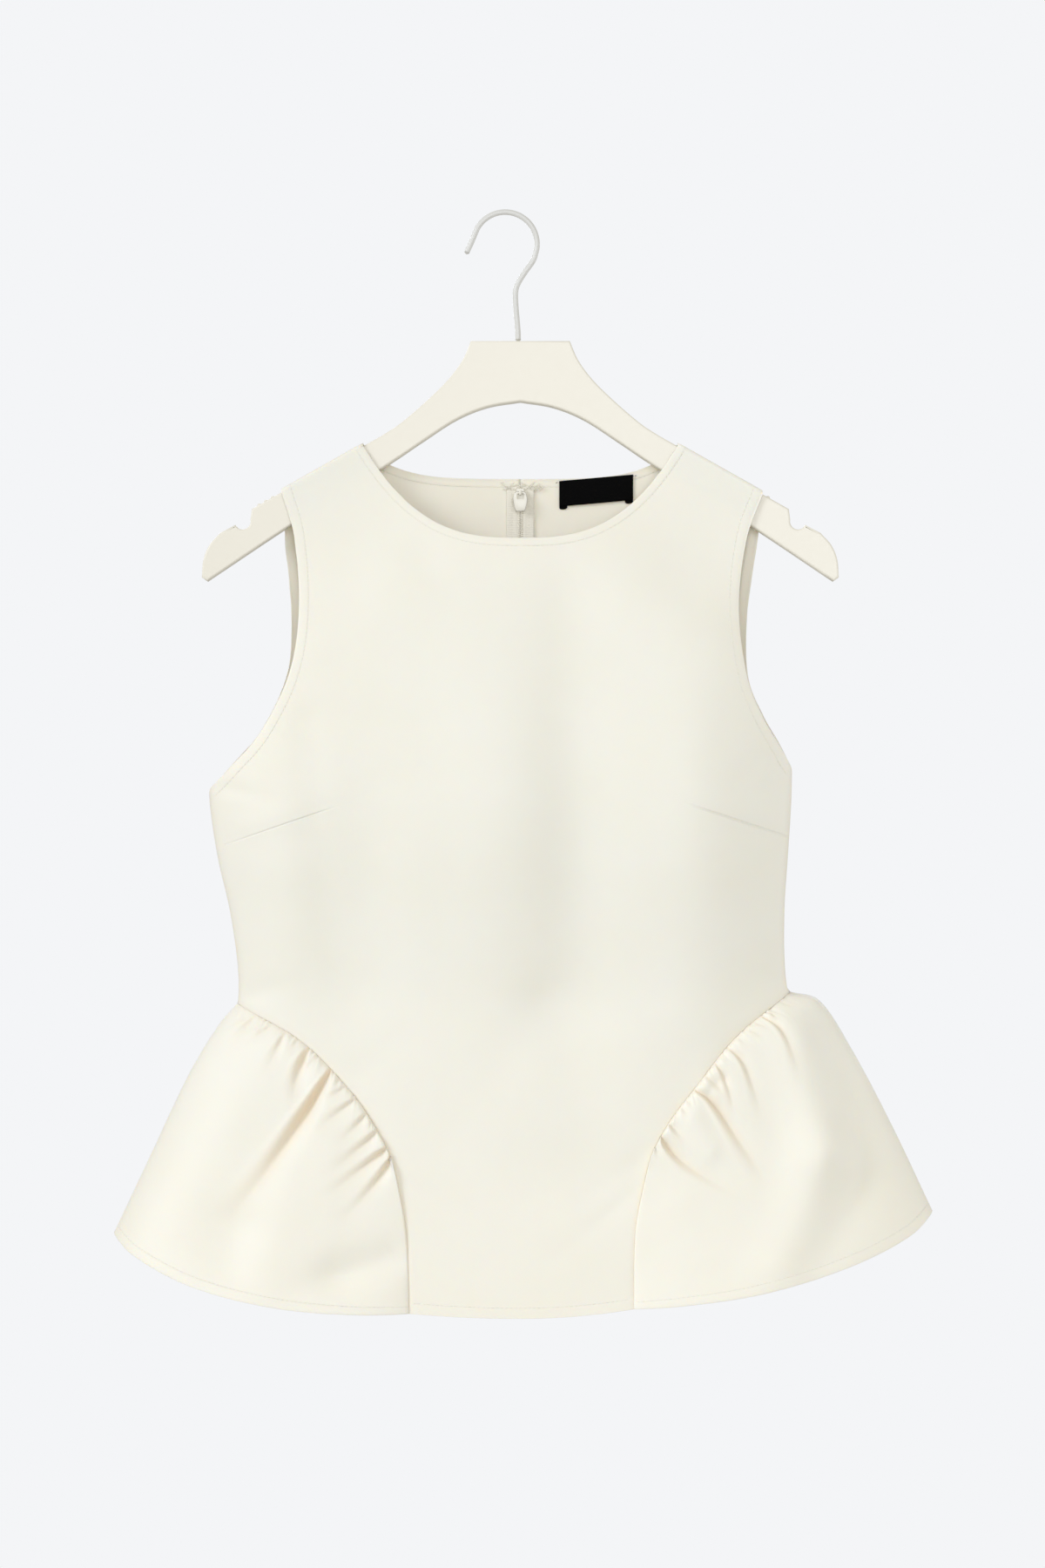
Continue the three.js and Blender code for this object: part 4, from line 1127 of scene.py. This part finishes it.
def add_threads(bm: bmesh.types.BMesh, starts: Array, ends: Array, radius: float) -> None:
    """Adds short threads, each between two points in millimetres."""
    part = bmesh.new()
    for start, end in zip(map(Vector, starts * MM), map(Vector, ends * MM)):
        run = end - start
        turn = run.to_track_quat("Z", "Y").to_matrix().to_4x4()
        size = Matrix.Diagonal((radius * MM, radius * MM, run.length / 2, 1))
        matrix = Matrix.Translation((start + end) / 2) @ turn @ size
        bmesh.ops.create_uvsphere(part, u_segments=6, v_segments=4, radius=1.0, matrix=matrix)
    join(bm, part)


@dataclass(frozen=True)
class Stitches:
    """Rows of machine stitches, each a short thread that sinks into the cloth."""

    pitch: float = 3.1
    long: float = 2.5
    radius: float = 0.24

    def row(
        self, bm: bmesh.types.BMesh, surface: Surface, x: Array, z: Array, inside: bool = False
    ) -> None:
        """Sews a row along a line of the flat pattern.

        Args:
            bm: the mesh that takes the threads.
            surface: the cloth that they lie on.
            x: the line's places across.
            z: the line's places up.
            inside: whether they lie on the cloth's inner side.
        """
        laid = surface.points(x, z, -surface.thickness if inside else 0.0)
        starts = np.arange(self.pitch / 2, way_along(laid)[-1] - self.pitch, self.pitch)
        add_threads(bm, points_along(laid, starts), points_along(laid, starts + self.long), self.radius)


@dataclass(frozen=True)
class CentrePanels:
    """The front panel and the two halves of the back, with darts, soft folds and turned edges."""

    form: TopForm
    neck_stitch: float = 5.5
    armhole_stitch: float = 6.5
    hem_stitch: float = 7.0
    hem_share: float = 0.985
    seam_roll: float = 0.6
    seam_width: float = 1.5
    # Painted shade at a seam, as a share of the full painted shade
    seam_hollow: float = 0.3
    zip_roll: float = 0.25
    edge_roll: float = 0.45
    edge_width: float = 0.8
    fold_fade: float = 6.0
    dart_from: float = -0.1
    dart_fades_at: float = 0.75
    dart_to: float = 1.15

    def dart(self, face: Face, x: Array, z: Array) -> tuple[Array, Array]:
        """How far each flat place lies to one side of the nearest dart, and how deep that dart is."""
        nearest, depth = np.full_like(x, FAR), np.zeros_like(x)
        for dart in DARTS[face].dicts():
            run_x, run_z = dart["x1"] - dart["x0"], dart["z1"] - dart["z0"]
            from_x, from_z = x - dart["x0"], z - dart["z0"]
            length = math.hypot(run_x, run_z)
            along = (from_x * run_x + from_z * run_z) / length**2
            off = (from_x * run_z - from_z * run_x) / length
            mine = (np.abs(off) < np.abs(nearest)) & (along > self.dart_from) & (along < self.dart_to)
            nearest = np.where(mine, off, nearest)
            # A dart is sewn in deep at the seam and runs out to nothing at its point
            past = ease((along - self.dart_fades_at) / 0.3)
            shown = ease((along - self.dart_from) / 0.5) * (1 - past)
            depth = np.where(mine, 0.35 + 0.5 * shown - 0.35 * past, depth)
        return nearest, depth

    def outer_line(self, face: Face, side: Side, up: Array) -> tuple[Array, Array]:
        """Part of a panel's outer edge."""
        x, z = self.form.panel_edge(face, np.full_like(up, side.value), up)
        return side.value * x, z

    def over_shoulder(self, x: Array, z: Array) -> tuple[Array, Array]:
        """Leads an edge on over the hanger, to the shoulder seam."""
        over = lines(0, self.form.over_hanger, 12)[1:]
        return np.concatenate([x, np.full_like(over, x[-1])]), np.concatenate([z, z[-1] + over])

    def armhole_line(self, face: Face, side: Side) -> tuple[Array, Array]:
        """An armhole's edge, up to the shoulder seam."""
        return self.over_shoulder(*self.outer_line(face, side, lines(self.form.up_underarm, 1, 220)))

    def neck_line(self, face: Face, side: Side) -> tuple[Array, Array]:
        """Half the neckline, up to the shoulder seam."""
        x, z = self.form.neckline(face, lines(0, 1, 160))
        return self.over_shoulder(side.value * x, z)

    def hem_line(self, face: Face) -> tuple[Array, Array]:
        """The hem between the peplums."""
        return self.form.panel_pattern(face, lines(-1, 1, 120), np.zeros(121))

    def from_seam(self, face: Face, x: Array, z: Array) -> Array:
        """The distance from each flat place to the peplum seams and the side seams."""
        up = lines(0, self.form.up_underarm, 260)
        return distance_to(x, z, [self.outer_line(face, side, up) for side in Side])

    def from_free_edges(self, face: Face, x: Array, z: Array) -> tuple[Array, Array]:
        """The distances from each flat place to the neckline and to the armholes."""
        neck = distance_to(x, z, [self.neck_line(face, side) for side in Side])
        return neck, distance_to(x, z, [self.armhole_line(face, side) for side in Side])

    def relief(self, face: Face, x: Array, z: Array) -> Array:
        """Darts, folds, rolled seams and turned edges of a centre panel, in millimetres."""
        seam, free = self.from_seam(face, x, z), np.minimum(*self.from_free_edges(face, x, z))
        rolled = self.seam_roll * np.exp(-seam / self.seam_width)
        if face is Face.BACK:
            rolled = rolled + self.zip_roll * np.exp(-np.abs(x) / self.seam_width)
        turned = self.edge_roll * np.exp(-free / self.edge_width)
        inside = 1 - np.exp(-np.minimum(seam, free) / self.fold_fade)
        return PANEL_FOLDS[face].height(x, z) * inside - rolled - turned

    def hollow(self, face: Face, x: Array, z: Array) -> Array:
        """How much painted shade each flat place gets at a seam, from 0 to 1."""
        return self.seam_hollow * np.exp(-self.from_seam(face, x, z) / self.seam_width)

    def edge(self, face: Face, x: Array, z: Array) -> Array:
        """The distance to the turned edges, as a share of the distance of their stitches."""
        neck, hole = self.from_free_edges(face, x, z)
        hem = distance_to(x, z, [self.hem_line(face)])
        return np.minimum.reduce([hem / self.hem_stitch, neck / self.neck_stitch, hole / self.armhole_stitch])

    def surface(self, face: Face) -> Surface:
        """The cloth of the front or the back."""
        return Surface(face, lay=partial(self.form.drape, face), relief=partial(self.relief, face))

    def half_lines(self, count: int) -> Array:
        """Lines from the centre line to the outer edge, one of them at the neck point."""
        inner = round(count * self.form.across_neck)
        turn = np.sin(lines(0, math.pi / 2, count - inner))
        outer = self.form.across_neck + (1 - self.form.across_neck) * turn
        return np.concatenate([lines(0, self.form.across_neck, inner), outer[1:]])

    def build(self, satin: bpy.types.Material) -> None:
        """Builds the three panels."""
        half = self.half_lines(78)
        rows = (
            ("front_panel", Face.FRONT, np.concatenate([-half[:0:-1], half]), 0.44, 0.178),
            ("back_panel_left", Face.BACK, -half[::-1], 0.23, 0.094),
            ("back_panel_right", Face.BACK, half, 0.23, 0.09),
        )
        for node, face, columns, width, area in rows:
            panel = ClothPanel(
                node=node,
                surface=self.surface(face),
                u_lines=columns,
                v_lines=np.concatenate([closer_at_ends(lines(0, 1, 200)), lines(1, 2, 10)[1:]]),
                flat=partial(self.form.panel_pattern, face),
                edge=partial(self.edge, face),
                hollow=partial(self.hollow, face),
                dart=partial(self.dart, face),
                keep=lambda u, v: (v <= 1) | (np.abs(u) >= self.form.across_neck - 1e-6),
            )
            panel.build(satin)

    def sew(self, bm: bmesh.types.BMesh, stitches: Stitches) -> None:
        """Sews the necklines, the armholes and the hems."""
        for face in Face:
            surface = self.surface(face)
            for side in Side:
                neck = inset(*self.neck_line(face, side), self.neck_stitch, side.value)
                hole = inset(*self.armhole_line(face, side), self.armhole_stitch, -side.value)
                for inside in (False, True):
                    stitches.row(bm, surface, *neck, inside=inside)
                    stitches.row(bm, surface, *hole, inside=inside)
            hem_x, hem_z = self.hem_line(face)
            stitches.row(bm, surface, hem_x * self.hem_share, hem_z + self.hem_stitch)


@dataclass(frozen=True)
class Peplums:
    """The four gathered side panels, each with its flat X to the viewer's right."""

    form: TopForm
    wide: float = 190.0
    tall: float = 158.0
    hem_stitch: float = 7.0
    seam_roll: float = 0.55
    seam_width: float = 1.4
    # Painted shade at a seam, as a share of the full painted shade
    seam_hollow: float = 0.3
    edge_roll: float = 0.45
    edge_width: float = 0.8
    fold_fade: float = 8.0
    closer_above: float = 1.3

    def share(self, x: Array, z: Array) -> tuple[Array, Array]:
        """Shares across from the side seam and down from the gathered seam."""
        return np.clip(np.abs(x) / self.wide, 0, 1), np.clip(-z / self.tall, 0, 1)

    def relief(self, face: Face, side: Side, x: Array, z: Array) -> Array:
        """Gathers, folds, rolled seams and the turned hem, in millimetres."""
        seam = np.minimum.reduce([np.abs(x), self.wide - np.abs(x), -z])
        height = GATHERS[face, side].height(*self.share(x, z))
        height = height + PEPLUM_FOLDS[side].height(x, z) * (1 - np.exp(-seam / self.fold_fade))
        height = height - self.seam_roll * np.exp(-seam / self.seam_width)
        return height - self.edge_roll * np.exp(-(self.tall + z) / self.edge_width)

    def hollow(self, face: Face, side: Side, x: Array, z: Array) -> Array:
        """How much painted shade each flat place gets in a crease or at the seam, from 0 to 1."""
        seam = np.minimum(self.wide - np.abs(x), -z)
        crease = GATHERS[face, side].hollow(*self.share(x, z))
        return np.maximum(crease, self.seam_hollow * np.exp(-seam / self.seam_width))

    def surface(self, face: Face, side: Side) -> Surface:
        """The cloth of one peplum."""
        return Surface(
            face,
            lay=lambda x, z: self.form.peplum(face, side, *self.share(x, z)),
            relief=partial(self.relief, face, side),
        )

    def build(self, satin: bpy.types.Material) -> None:
        """Builds the four peplums."""
        for face, side in product(Face, Side):
            columns, rows = (230, 110) if face is Face.FRONT else (150, 80)
            panel = ClothPanel(
                node=f"peplum_{face.name.lower()}_{side.name.lower()}",
                surface=self.surface(face, side),
                u_lines=closer_at_ends(lines(0, 1, columns)),
                v_lines=closer_at_ends(lines(0, 1, rows)) ** self.closer_above,
                flat=lambda u, v, side=side: (-side.value * self.wide * u, -self.tall * v),
                edge=lambda x, z: (self.tall + z) / self.hem_stitch,
                hollow=partial(self.hollow, face, side),
            )
            piece = panel.build(satin)

    def sew(self, bm: bmesh.types.BMesh, stitches: Stitches) -> None:
        """Sews the hems."""
        for face, side in product(Face, Side):
            x = -side.value * lines(0.01, 0.99, 160) * self.wide
            stitches.row(bm, self.surface(face, side), x, np.full_like(x, self.hem_stitch - self.tall))


@dataclass(frozen=True)
class Zip:
    """The zip inside the centre back: two tapes, their coil, the slider, its pull and the tacks."""

    back: Surface
    top: float = -186.0
    long: float = 350.0
    tape_wide: float = 9.5
    tape_off: float = 1.35
    tape_thick: float = 0.7
    coil_pitch: float = 1.3
    coil_wide: float = 1.9
    coil_radius: float = 0.4
    slider_z: float = -192.0
    slider_off: float = 1.65
    slider_wide: float = 5.6
    slider_tall: float = 9.0
    slider_thick: float = 2.6
    bar_up: float = 1.5
    pull_wide: float = 9.6
    pull_long: float = 13.0
    pull_thick: float = 1.2
    eye_wide: float = 4.4
    eye_long: float = 3.6
    outline_points: int = 64
    tack_count: int = 46
    tack_from: float = -12.4
    tack_span: float = 27.0
    tack_z: float = -183.6

    @property
    def lean(self) -> Matrix:
        """The slider's lean with the cloth, at its place in millimetres."""
        heights = np.array([self.slider_z, self.slider_z + self.slider_tall / 2])
        seat, above = map(Vector, self.back.inner(np.zeros(2), heights, self.slider_off))
        angle = math.atan2(seat.y - above.y, above.z - seat.z)
        return Matrix.Translation(seat) @ Matrix.Rotation(angle, 4, "X")

    @property
    def pivot(self) -> Vector:
        """The middle of the pull's bar, on which it swings."""
        return self.lean @ Vector((0, -self.slider_thick - 0.3 - self.pull_thick / 2, self.bar_up))

    def build(self, finishes: Finishes) -> None:
        """Builds all its pieces."""
        for side in Side:
            self.tape(side, finishes.tape)
        self.coil(finishes.thread)
        self.slider(finishes.enamel)
        self.pull(finishes)
        self.tacks(finishes.thread)

    def tape(self, side: Side, material: bpy.types.Material) -> None:
        """Weaves one tape, with its edge beside the coil slightly raised."""
        name = f"zip_tape_{side.name.lower()}"
        columns = lines(0.15, self.tape_wide, 14)
        if side is Side.LEFT:
            columns = -columns[::-1]
        bm, x, z = grid(columns, lines(self.top - self.long, self.top, 90))
        # One ridge runs beside the coil and a lower one near the tape's outer edge
        bow = 0.25 * bell((np.abs(x) - 3.2) / 0.9) + 0.12 * bell((np.abs(x) - 7.5) / 1.2)
        place(bm, self.back.inner(x, z, self.tape_off + bow))
        give_wall(new_piece(f"{name}_woven", bm, material, node=name), self.tape_thick)

    def coil(self, material: bpy.types.Material) -> None:
        """Lays the coil's teeth in two rows that mesh with each other, and sews the tapes on."""
        bm = bmesh.new()
        first = self.slider_z - self.slider_tall / 2 - 1
        heights = np.arange(first, self.top - self.long + 3, -self.coil_pitch)
        for side in Side:
            places = heights - (self.coil_pitch / 2 if side is Side.RIGHT else 0)
            near = self.back.inner(np.full_like(places, -0.3 * side.value), places, self.tape_off + 0.35)
            far_x = np.full_like(places, self.coil_wide * side.value)
            far = self.back.inner(far_x, places + 0.25, self.tape_off + 0.3)
            add_threads(bm, near, far, self.coil_radius)
        stitches = Stitches(pitch=2.6, long=2.1, radius=0.18)
        on_tape = Surface(Face.BACK, self.back.lay, lambda x, z: np.full_like(x, -self.tape_off - 0.05))
        height = lines(self.top - self.long + 4, self.top - 3, 120)
        for side in Side:
            stitches.row(bm, on_tape, np.full_like(height, 6.0 * side.value), height, inside=True)
        new_piece("zip_coil", bm, material)

    def slider(self, material: bpy.types.Material) -> None:
        """Casts the slider: its rounded plate and the bridge that holds the pull's bar."""
        wide, tall, thick = self.slider_wide / 2, self.slider_tall / 2, self.slider_thick
        nose = wide / 1.5
        corners = [(wide, tall), (-wide, tall), (-wide, 0), (-nose, -tall), (nose, -tall), (wide, 0)]
        bm = skin(board(rounded(corners, 1.2), thick, 0.55), capped=True)
        shift(bm, (0, -thick / 2 * MM, 0))
        # The bridge's feet stand in the plate and its crown leaves room for the pull's bar
        foot, crown = 1.35, thick + 0.9 + self.pull_thick
        route = [(0.2, foot), (-0.9, foot), (-1.9, foot - 0.1), (-2.5, foot * 0.55), (-2.62, 0)]
        arch = [(0, y - thick, z + self.bar_up) for y, z in route]
        arch = arch + [(0, y, 2 * self.bar_up - z) for _, y, z in arch[-2::-1]]
        arch = smooth_line([(x, max(y, -crown), z) for x, y, z in arch], 5)
        join(bm, skin(swept(arch, (1, 0, 0), 0.8, 0.42, 14)))
        matrix = self.lean
        matrix.translation *= MM
        bmesh.ops.transform(bm, verts=bm.verts[:], matrix=matrix)
        new_piece("zip_slider_cast", bm, material, node="zip_slider")

    def pull(self, finishes: Finishes) -> None:
        """Presses the pull, a plate with an eye and a bare metal rim, hanging straight down."""
        top, eye_half, eye_top = self.pull_thick / 2, self.eye_wide / 2, -self.pull_thick / 2
        shoulder, low = eye_half + self.pull_thick, top - self.pull_long
        half = [(0, top), (shoulder, top), (self.pull_wide / 2, top - self.eye_long - self.pull_thick)]
        half = half + [(self.pull_wide / 2.25, low * 0.62), (self.pull_wide / 3.2, low)]
        outer = self.even(rounded(mirrored(half), 0.9))
        eye = mirrored([(0, eye_top), (eye_half, eye_top), (eye_half, eye_top - self.eye_long)])
        inner = self.even(rounded(eye, 0.7))
        steps = [(0.3, top), (0.08, top - 0.09), (0.0, top - 0.3)]
        profile = steps + [(i, -d) for i, d in steps[::-1]]
        rings = [upright(outer + inwards(outer) * i, d) for i, d in profile]
        rings = rings + [upright(inner - inwards(inner) * i, -d) for i, d in profile]
        plate = skin(np.array([*rings, rings[0]]))
        rim = skin(swept(upright(outer, 0.0), (0, 1, 0), 0.5, 0.3, 10, loop=True))
        for bm in (plate, rim):
            shift(bm, self.pivot * MM)
        new_piece("zip_pull_plate", plate, finishes.enamel, "pull", "zip_pull")
        new_piece("zip_pull_rim", rim, finishes.zinc, "pull")

    def even(self, outline: Array) -> Array:
        """Spaces a closed outline's points evenly."""
        closed = np.concatenate([outline, outline[:1]])
        places = np.linspace(0, way_along(closed)[-1], self.outline_points, endpoint=False)
        return points_along(closed, places)

    def tacks(self, material: bpy.types.Material) -> None:
        """Sews the zip's top ends down with a cluster of loose, slanting threads."""
        bm, i = bmesh.new(), np.arange(self.tack_count)
        x = self.tack_from + self.tack_span * (i / (self.tack_count - 1)) + 0.9 * np.sin(i * 2.3)
        z = self.tack_z - 4.6 * np.abs(np.sin(i * 1.7))
        slant = 1.5 * np.sin(i * 3.1)
        starts = self.back.inner(x - 1.5, z - slant, self.tape_off + 0.1)
        loose = 0.9 * np.abs(np.sin(i * 2.9))
        add_threads(bm, starts, self.back.inner(x + 1.5, z + slant, self.tape_off + 0.2 + loose), 0.3)
        new_piece("zip_tacks", bm, material)


@dataclass(frozen=True)
class NeckLabel:
    """A plain black woven label, its ends folded under and sewn inside the back neck."""

    back: Surface
    left: float = 27.0
    right: float = 78.0
    top: float = -182.5
    tall: float = 17.5
    rise: float = 0.085
    off: float = 1.35
    thick: float = 0.45
    fold_wide: float = 5.6
    fold_below: float = 2.2
    stitch_pitch: float = 2.1

    def height(self, x: Array, down: Array | float) -> Array:
        """The height of a place, where down runs from 0 at the label's top to 1 at its bottom."""
        return self.top + (x - self.left) * self.rise - down * self.tall

    def build(self, material: bpy.types.Material) -> None:
        """Builds the label, its folded ends and its stitches."""
        bm, x, up = grid(lines(self.left, self.right, 48), lines(0, 1, 18))
        # Sewn at its top corners only, the label bows off the cloth and curls at its left end
        bow = 0.5 * np.sin((x - self.left) / (self.right - self.left) * math.pi) * (1 - up)
        curl = 0.5 * bell((x - self.left) / 5) * (1 - up) + 0.12 * np.sin(x * 0.55) * (1 - up)
        place(bm, self.back.inner(x, self.height(x, 1 - up), self.off + bow + curl))
        piece = new_piece("neck_label_woven", bm, material, node="neck_label")
        give_wall(piece, self.thick)
        for name, start in (("left", self.left), ("right", self.right - self.fold_wide)):
            bm, x, up = grid(lines(start, start + self.fold_wide, 12), lines(0, 1, 12))
            round_end = 1.1 * ((x - start - self.fold_wide / 2) / self.fold_wide * 2) ** 4
            height = self.height(x, 0.75) - (1 - up) * (0.25 * self.tall + self.fold_below - round_end)
            place(bm, self.back.inner(x, height, self.off - 0.55 + 0.5 * np.sin(up * math.pi)))
            give_wall(new_piece(f"neck_label_fold_{name}", bm, material), self.thick)
        self.stitch(material)

    def stitch(self, material: bpy.types.Material) -> None:
        """Sews the label's ends down at its top corners."""
        bm = bmesh.new()
        for corner, way in ((self.left, 1), (self.right, -1)):
            starts, ends = (
                self.back.inner(x, self.height(x, down), self.off + 0.1)
                for x, down in (
                    (corner + way * (np.arange(4) * self.stitch_pitch - 2.6), 0.06),
                    (corner + way * (np.arange(4) * self.stitch_pitch - 1.0), 0.05),
                )
            )
            add_threads(bm, starts, ends, 0.22)
        new_piece("neck_label_stitches", bm, material)


@dataclass(frozen=True)
class Hanger:
    """The flat lacquered hanger, with notches and small teeth, and its coated wire hook.

    The rows of points hold half its outline, out from the neck and back along the arch.
    """

    form: TopForm
    thick: float = 12.0
    edge: float = 1.3
    neck: tuple = ((34, -87.5), (40, -101), (50.5, -115), (66.5, -130.5), (83, -144.5), (96, -153.0))
    straight_from: float = 140.0
    notch: tuple[float, float, float] = (191.0, -211.5, 5.5)
    brink: float = 0.9
    tip: tuple = ((206.5, -219.5), (214, -228), (218, -238), (219, -250))
    arch: tuple = (
        (215.5, -252.5), (155, -212.2), (95, -175), (68, -157), (44, -141.5), (22.5, -132.8), (0, -129),
    )
    tooth_start: float = 168.4
    tooth_pitch: float = 4.6
    wire: float = 1.9
    crown: float = 22.0
    hook_tip: tuple = ((-27, -27), (-23.2, -18.8))
    bend: tuple = ((19.3, -31.5), (13.6, -39.6), (8.9, -47.2), (7.2, -53), (7.3, -62), (8.6, -78), (9, -87.3))

    def shoulder(self, x: float) -> float:
        """The height of the hanger's upper edge."""
        return self.form.shoulder_z - (x - self.form.shoulder_x) * self.form.slope

    def half(self, side: Side) -> Array:
        """Half the outline, from the neck's corner round to the middle of the arch."""
        mid_x, mid_z, radius = self.notch
        turn = lines(math.pi - 0.2, 2 * math.pi - 0.45, 20)
        notch = np.stack([mid_x + radius * np.cos(turn), mid_z + radius * np.sin(turn)], axis=1)
        upper = [(x, self.shoulder(x)) for x in (self.straight_from, mid_x - radius - self.brink)]
        parts = [smooth_line(self.neck), upper, notch, smooth_line(self.tip), smooth_line(self.arch)]
        return np.concatenate(parts) * np.array([side.value, 1])

    def tooth(self, side: Side, number: int) -> bmesh.types.BMesh:
        """One small tooth that keeps cloth from sliding off, set into the upper edge."""
        x = self.tooth_start + number * self.tooth_pitch + 0.4 * self.tooth_pitch
        depth = lines(self.edge - self.thick / 2, self.thick / 2 - self.edge, 8)
        route = np.stack([0 * depth + side.value * x, depth, 0 * depth + self.shoulder(x) - 0.1], axis=1)
        return skin(swept(route, (1, 0, 0), 1.5, 1.1, 14))

    def build(self, finishes: Finishes) -> None:
        """Builds the board and the hook."""
        outline = np.concatenate([self.half(Side.RIGHT), self.half(Side.LEFT)[-2::-1]])
        bm = skin(board(outline, self.thick, self.edge), capped=True)
        for side, count in ((Side.LEFT, 3), (Side.RIGHT, 1)):
            for number in range(count):
                join(bm, self.tooth(side, number))
        shift(bm, (self.form.mid_x * MM, 0, 0))
        new_piece("hanger_board", bm, finishes.lacquer, node="hanger")
        turn = np.radians(lines(152, -12, 40))
        x, z = self.crown * np.cos(turn), self.wire - self.crown + self.crown * np.sin(turn)
        crown = np.stack([x, z], axis=1)
        tip, foot = smooth_line([*self.hook_tip, crown[0]]), smooth_line([crown[-1], *self.bend])
        route = upright(np.concatenate([tip[:-1], crown, foot[1:]]), 0.0)
        bm = skin(swept(route, (0, 1, 0), self.wire, self.wire, 20))
        new_piece("hanger_wire", bm, finishes.wire_coat, node="hanger_hook")


@dataclass(frozen=True)
class Camera:
    """The photograph's camera, level with the middle of the top."""

    place: tuple[float, float, float] = (0.012, -2.4, -0.392)
    lens: float = 80.0
    sensor: float = 36.0

    def build(self) -> None:
        """Builds the camera and makes it the scene's."""
        data = bpy.data.cameras.new("view")
        data.lens, data.sensor_width = self.lens, self.sensor
        camera = put("view", data)
        camera.location = self.place
        camera.rotation_euler = (math.pi / 2, 0, 0)
        bpy.context.scene.camera = camera


@dataclass(frozen=True)
class Studio:
    """A pale room with soft light from the left and the front, and a plain floor.

    Each lamp has a name, a place, the point that it faces, its size in metres and its watts.
    """

    sky: str = "#f4f5f7"
    room: str = "#f7f4ec"
    room_light: float = 0.58
    window_from: tuple[float, float, float] = (-0.8, -0.5, 0.38)
    window_light: float = 1.4
    window_angle: float = 24.0
    daylight: str = "#eef3ff"
    lamps: tuple = (
        ("front", (0.35, -2.5, 0.15), (0, 0, -0.4), 1.4, 23),
        ("side", (2.2, 0.1, -0.35), (0, 0, -0.4), 1.2, 9),
        ("behind", (-0.7, 2.3, 0.3), (0, 0.03, -0.4), 1.2, 16),
    )
    floor_z: float = -1.36
    floor_radius: float = 1.1

    def light(
        self, name: str, kind: str, energy: float, turn: Quaternion, **settings: float
    ) -> bpy.types.Object:
        """Adds a light that is turned one way."""
        data = bpy.data.lights.new(name, kind)
        data.energy = energy
        data.color = linear(self.daylight)[:3]
        for setting, value in settings.items():
            setattr(data, setting, value)
        lamp = put(name, data)
        lamp.rotation_euler = turn.to_euler()
        return lamp

    def walls(self) -> None:
        """Adds the room's light; the wall that the camera sees is brighter than what it gives."""
        world = bpy.data.worlds.new("room")
        bpy.context.scene.world = world
        world.use_nodes = True
        world.node_tree.nodes.clear()
        node = partial(add_node, world.node_tree)
        light = node("Background", {"Color": linear(self.room), "Strength": self.room_light})
        wall = node("Background", {"Color": linear(self.sky), "Strength": 1.0})
        seen = node("LightPath", {}, "Is Camera Ray")
        node("OutputWorld", {"Surface": node("MixShader", {0: seen, 1: light, 2: wall})})

    def floor(self) -> None:
        """Adds a plain matte floor, well under the top."""
        bm = bmesh.new()
        bmesh.ops.create_circle(bm, cap_ends=True, segments=64, radius=self.floor_radius)
        shift(bm, (0, 0, self.floor_z))
        mesh = bpy.data.meshes.new("floor")
        bm.to_mesh(mesh)
        bm.free()
        mesh.materials.append(SmoothCoat("floor_paint", "#e9e9ea", 0.8, 0.0, 40.0).make())
        put("floor", mesh)

    def build(self) -> None:
        """Builds the world, the lights and the floor."""
        bpy.context.scene.view_settings.view_transform = "Standard"
        self.walls()
        # The window's light is broad and even, as from far away
        turn = Vector(self.window_from).to_track_quat("Z", "Y")
        self.light("window", "SUN", self.window_light, turn, angle=math.radians(self.window_angle))
        for name, stand, target, size, watts in self.lamps:
            turn = (Vector(target) - Vector(stand)).to_track_quat("-Z", "Y")
            self.light(name, "AREA", watts, turn, size=size).location = stand
        self.floor()


def main() -> None:
    """Builds the scene."""
    logging.basicConfig(level=logging.INFO, format="%(message)s")
    form = TopForm()
    Camera().build()
    finishes = Finishes.make()
    panels, peplums = CentrePanels(form), Peplums(form)
    panels.build(finishes.satin)
    peplums.build(finishes.satin)
    bm = bmesh.new()
    panels.sew(bm, Stitches())
    peplums.sew(bm, Stitches())
    new_piece("topstitches", bm, finishes.thread)
    back = panels.surface(Face.BACK)
    Zip(back).build(finishes)
    NeckLabel(back).build(finishes.label)
    Hanger(form).build(finishes)
    Studio().build()


if __name__ == "__main__":
    main()
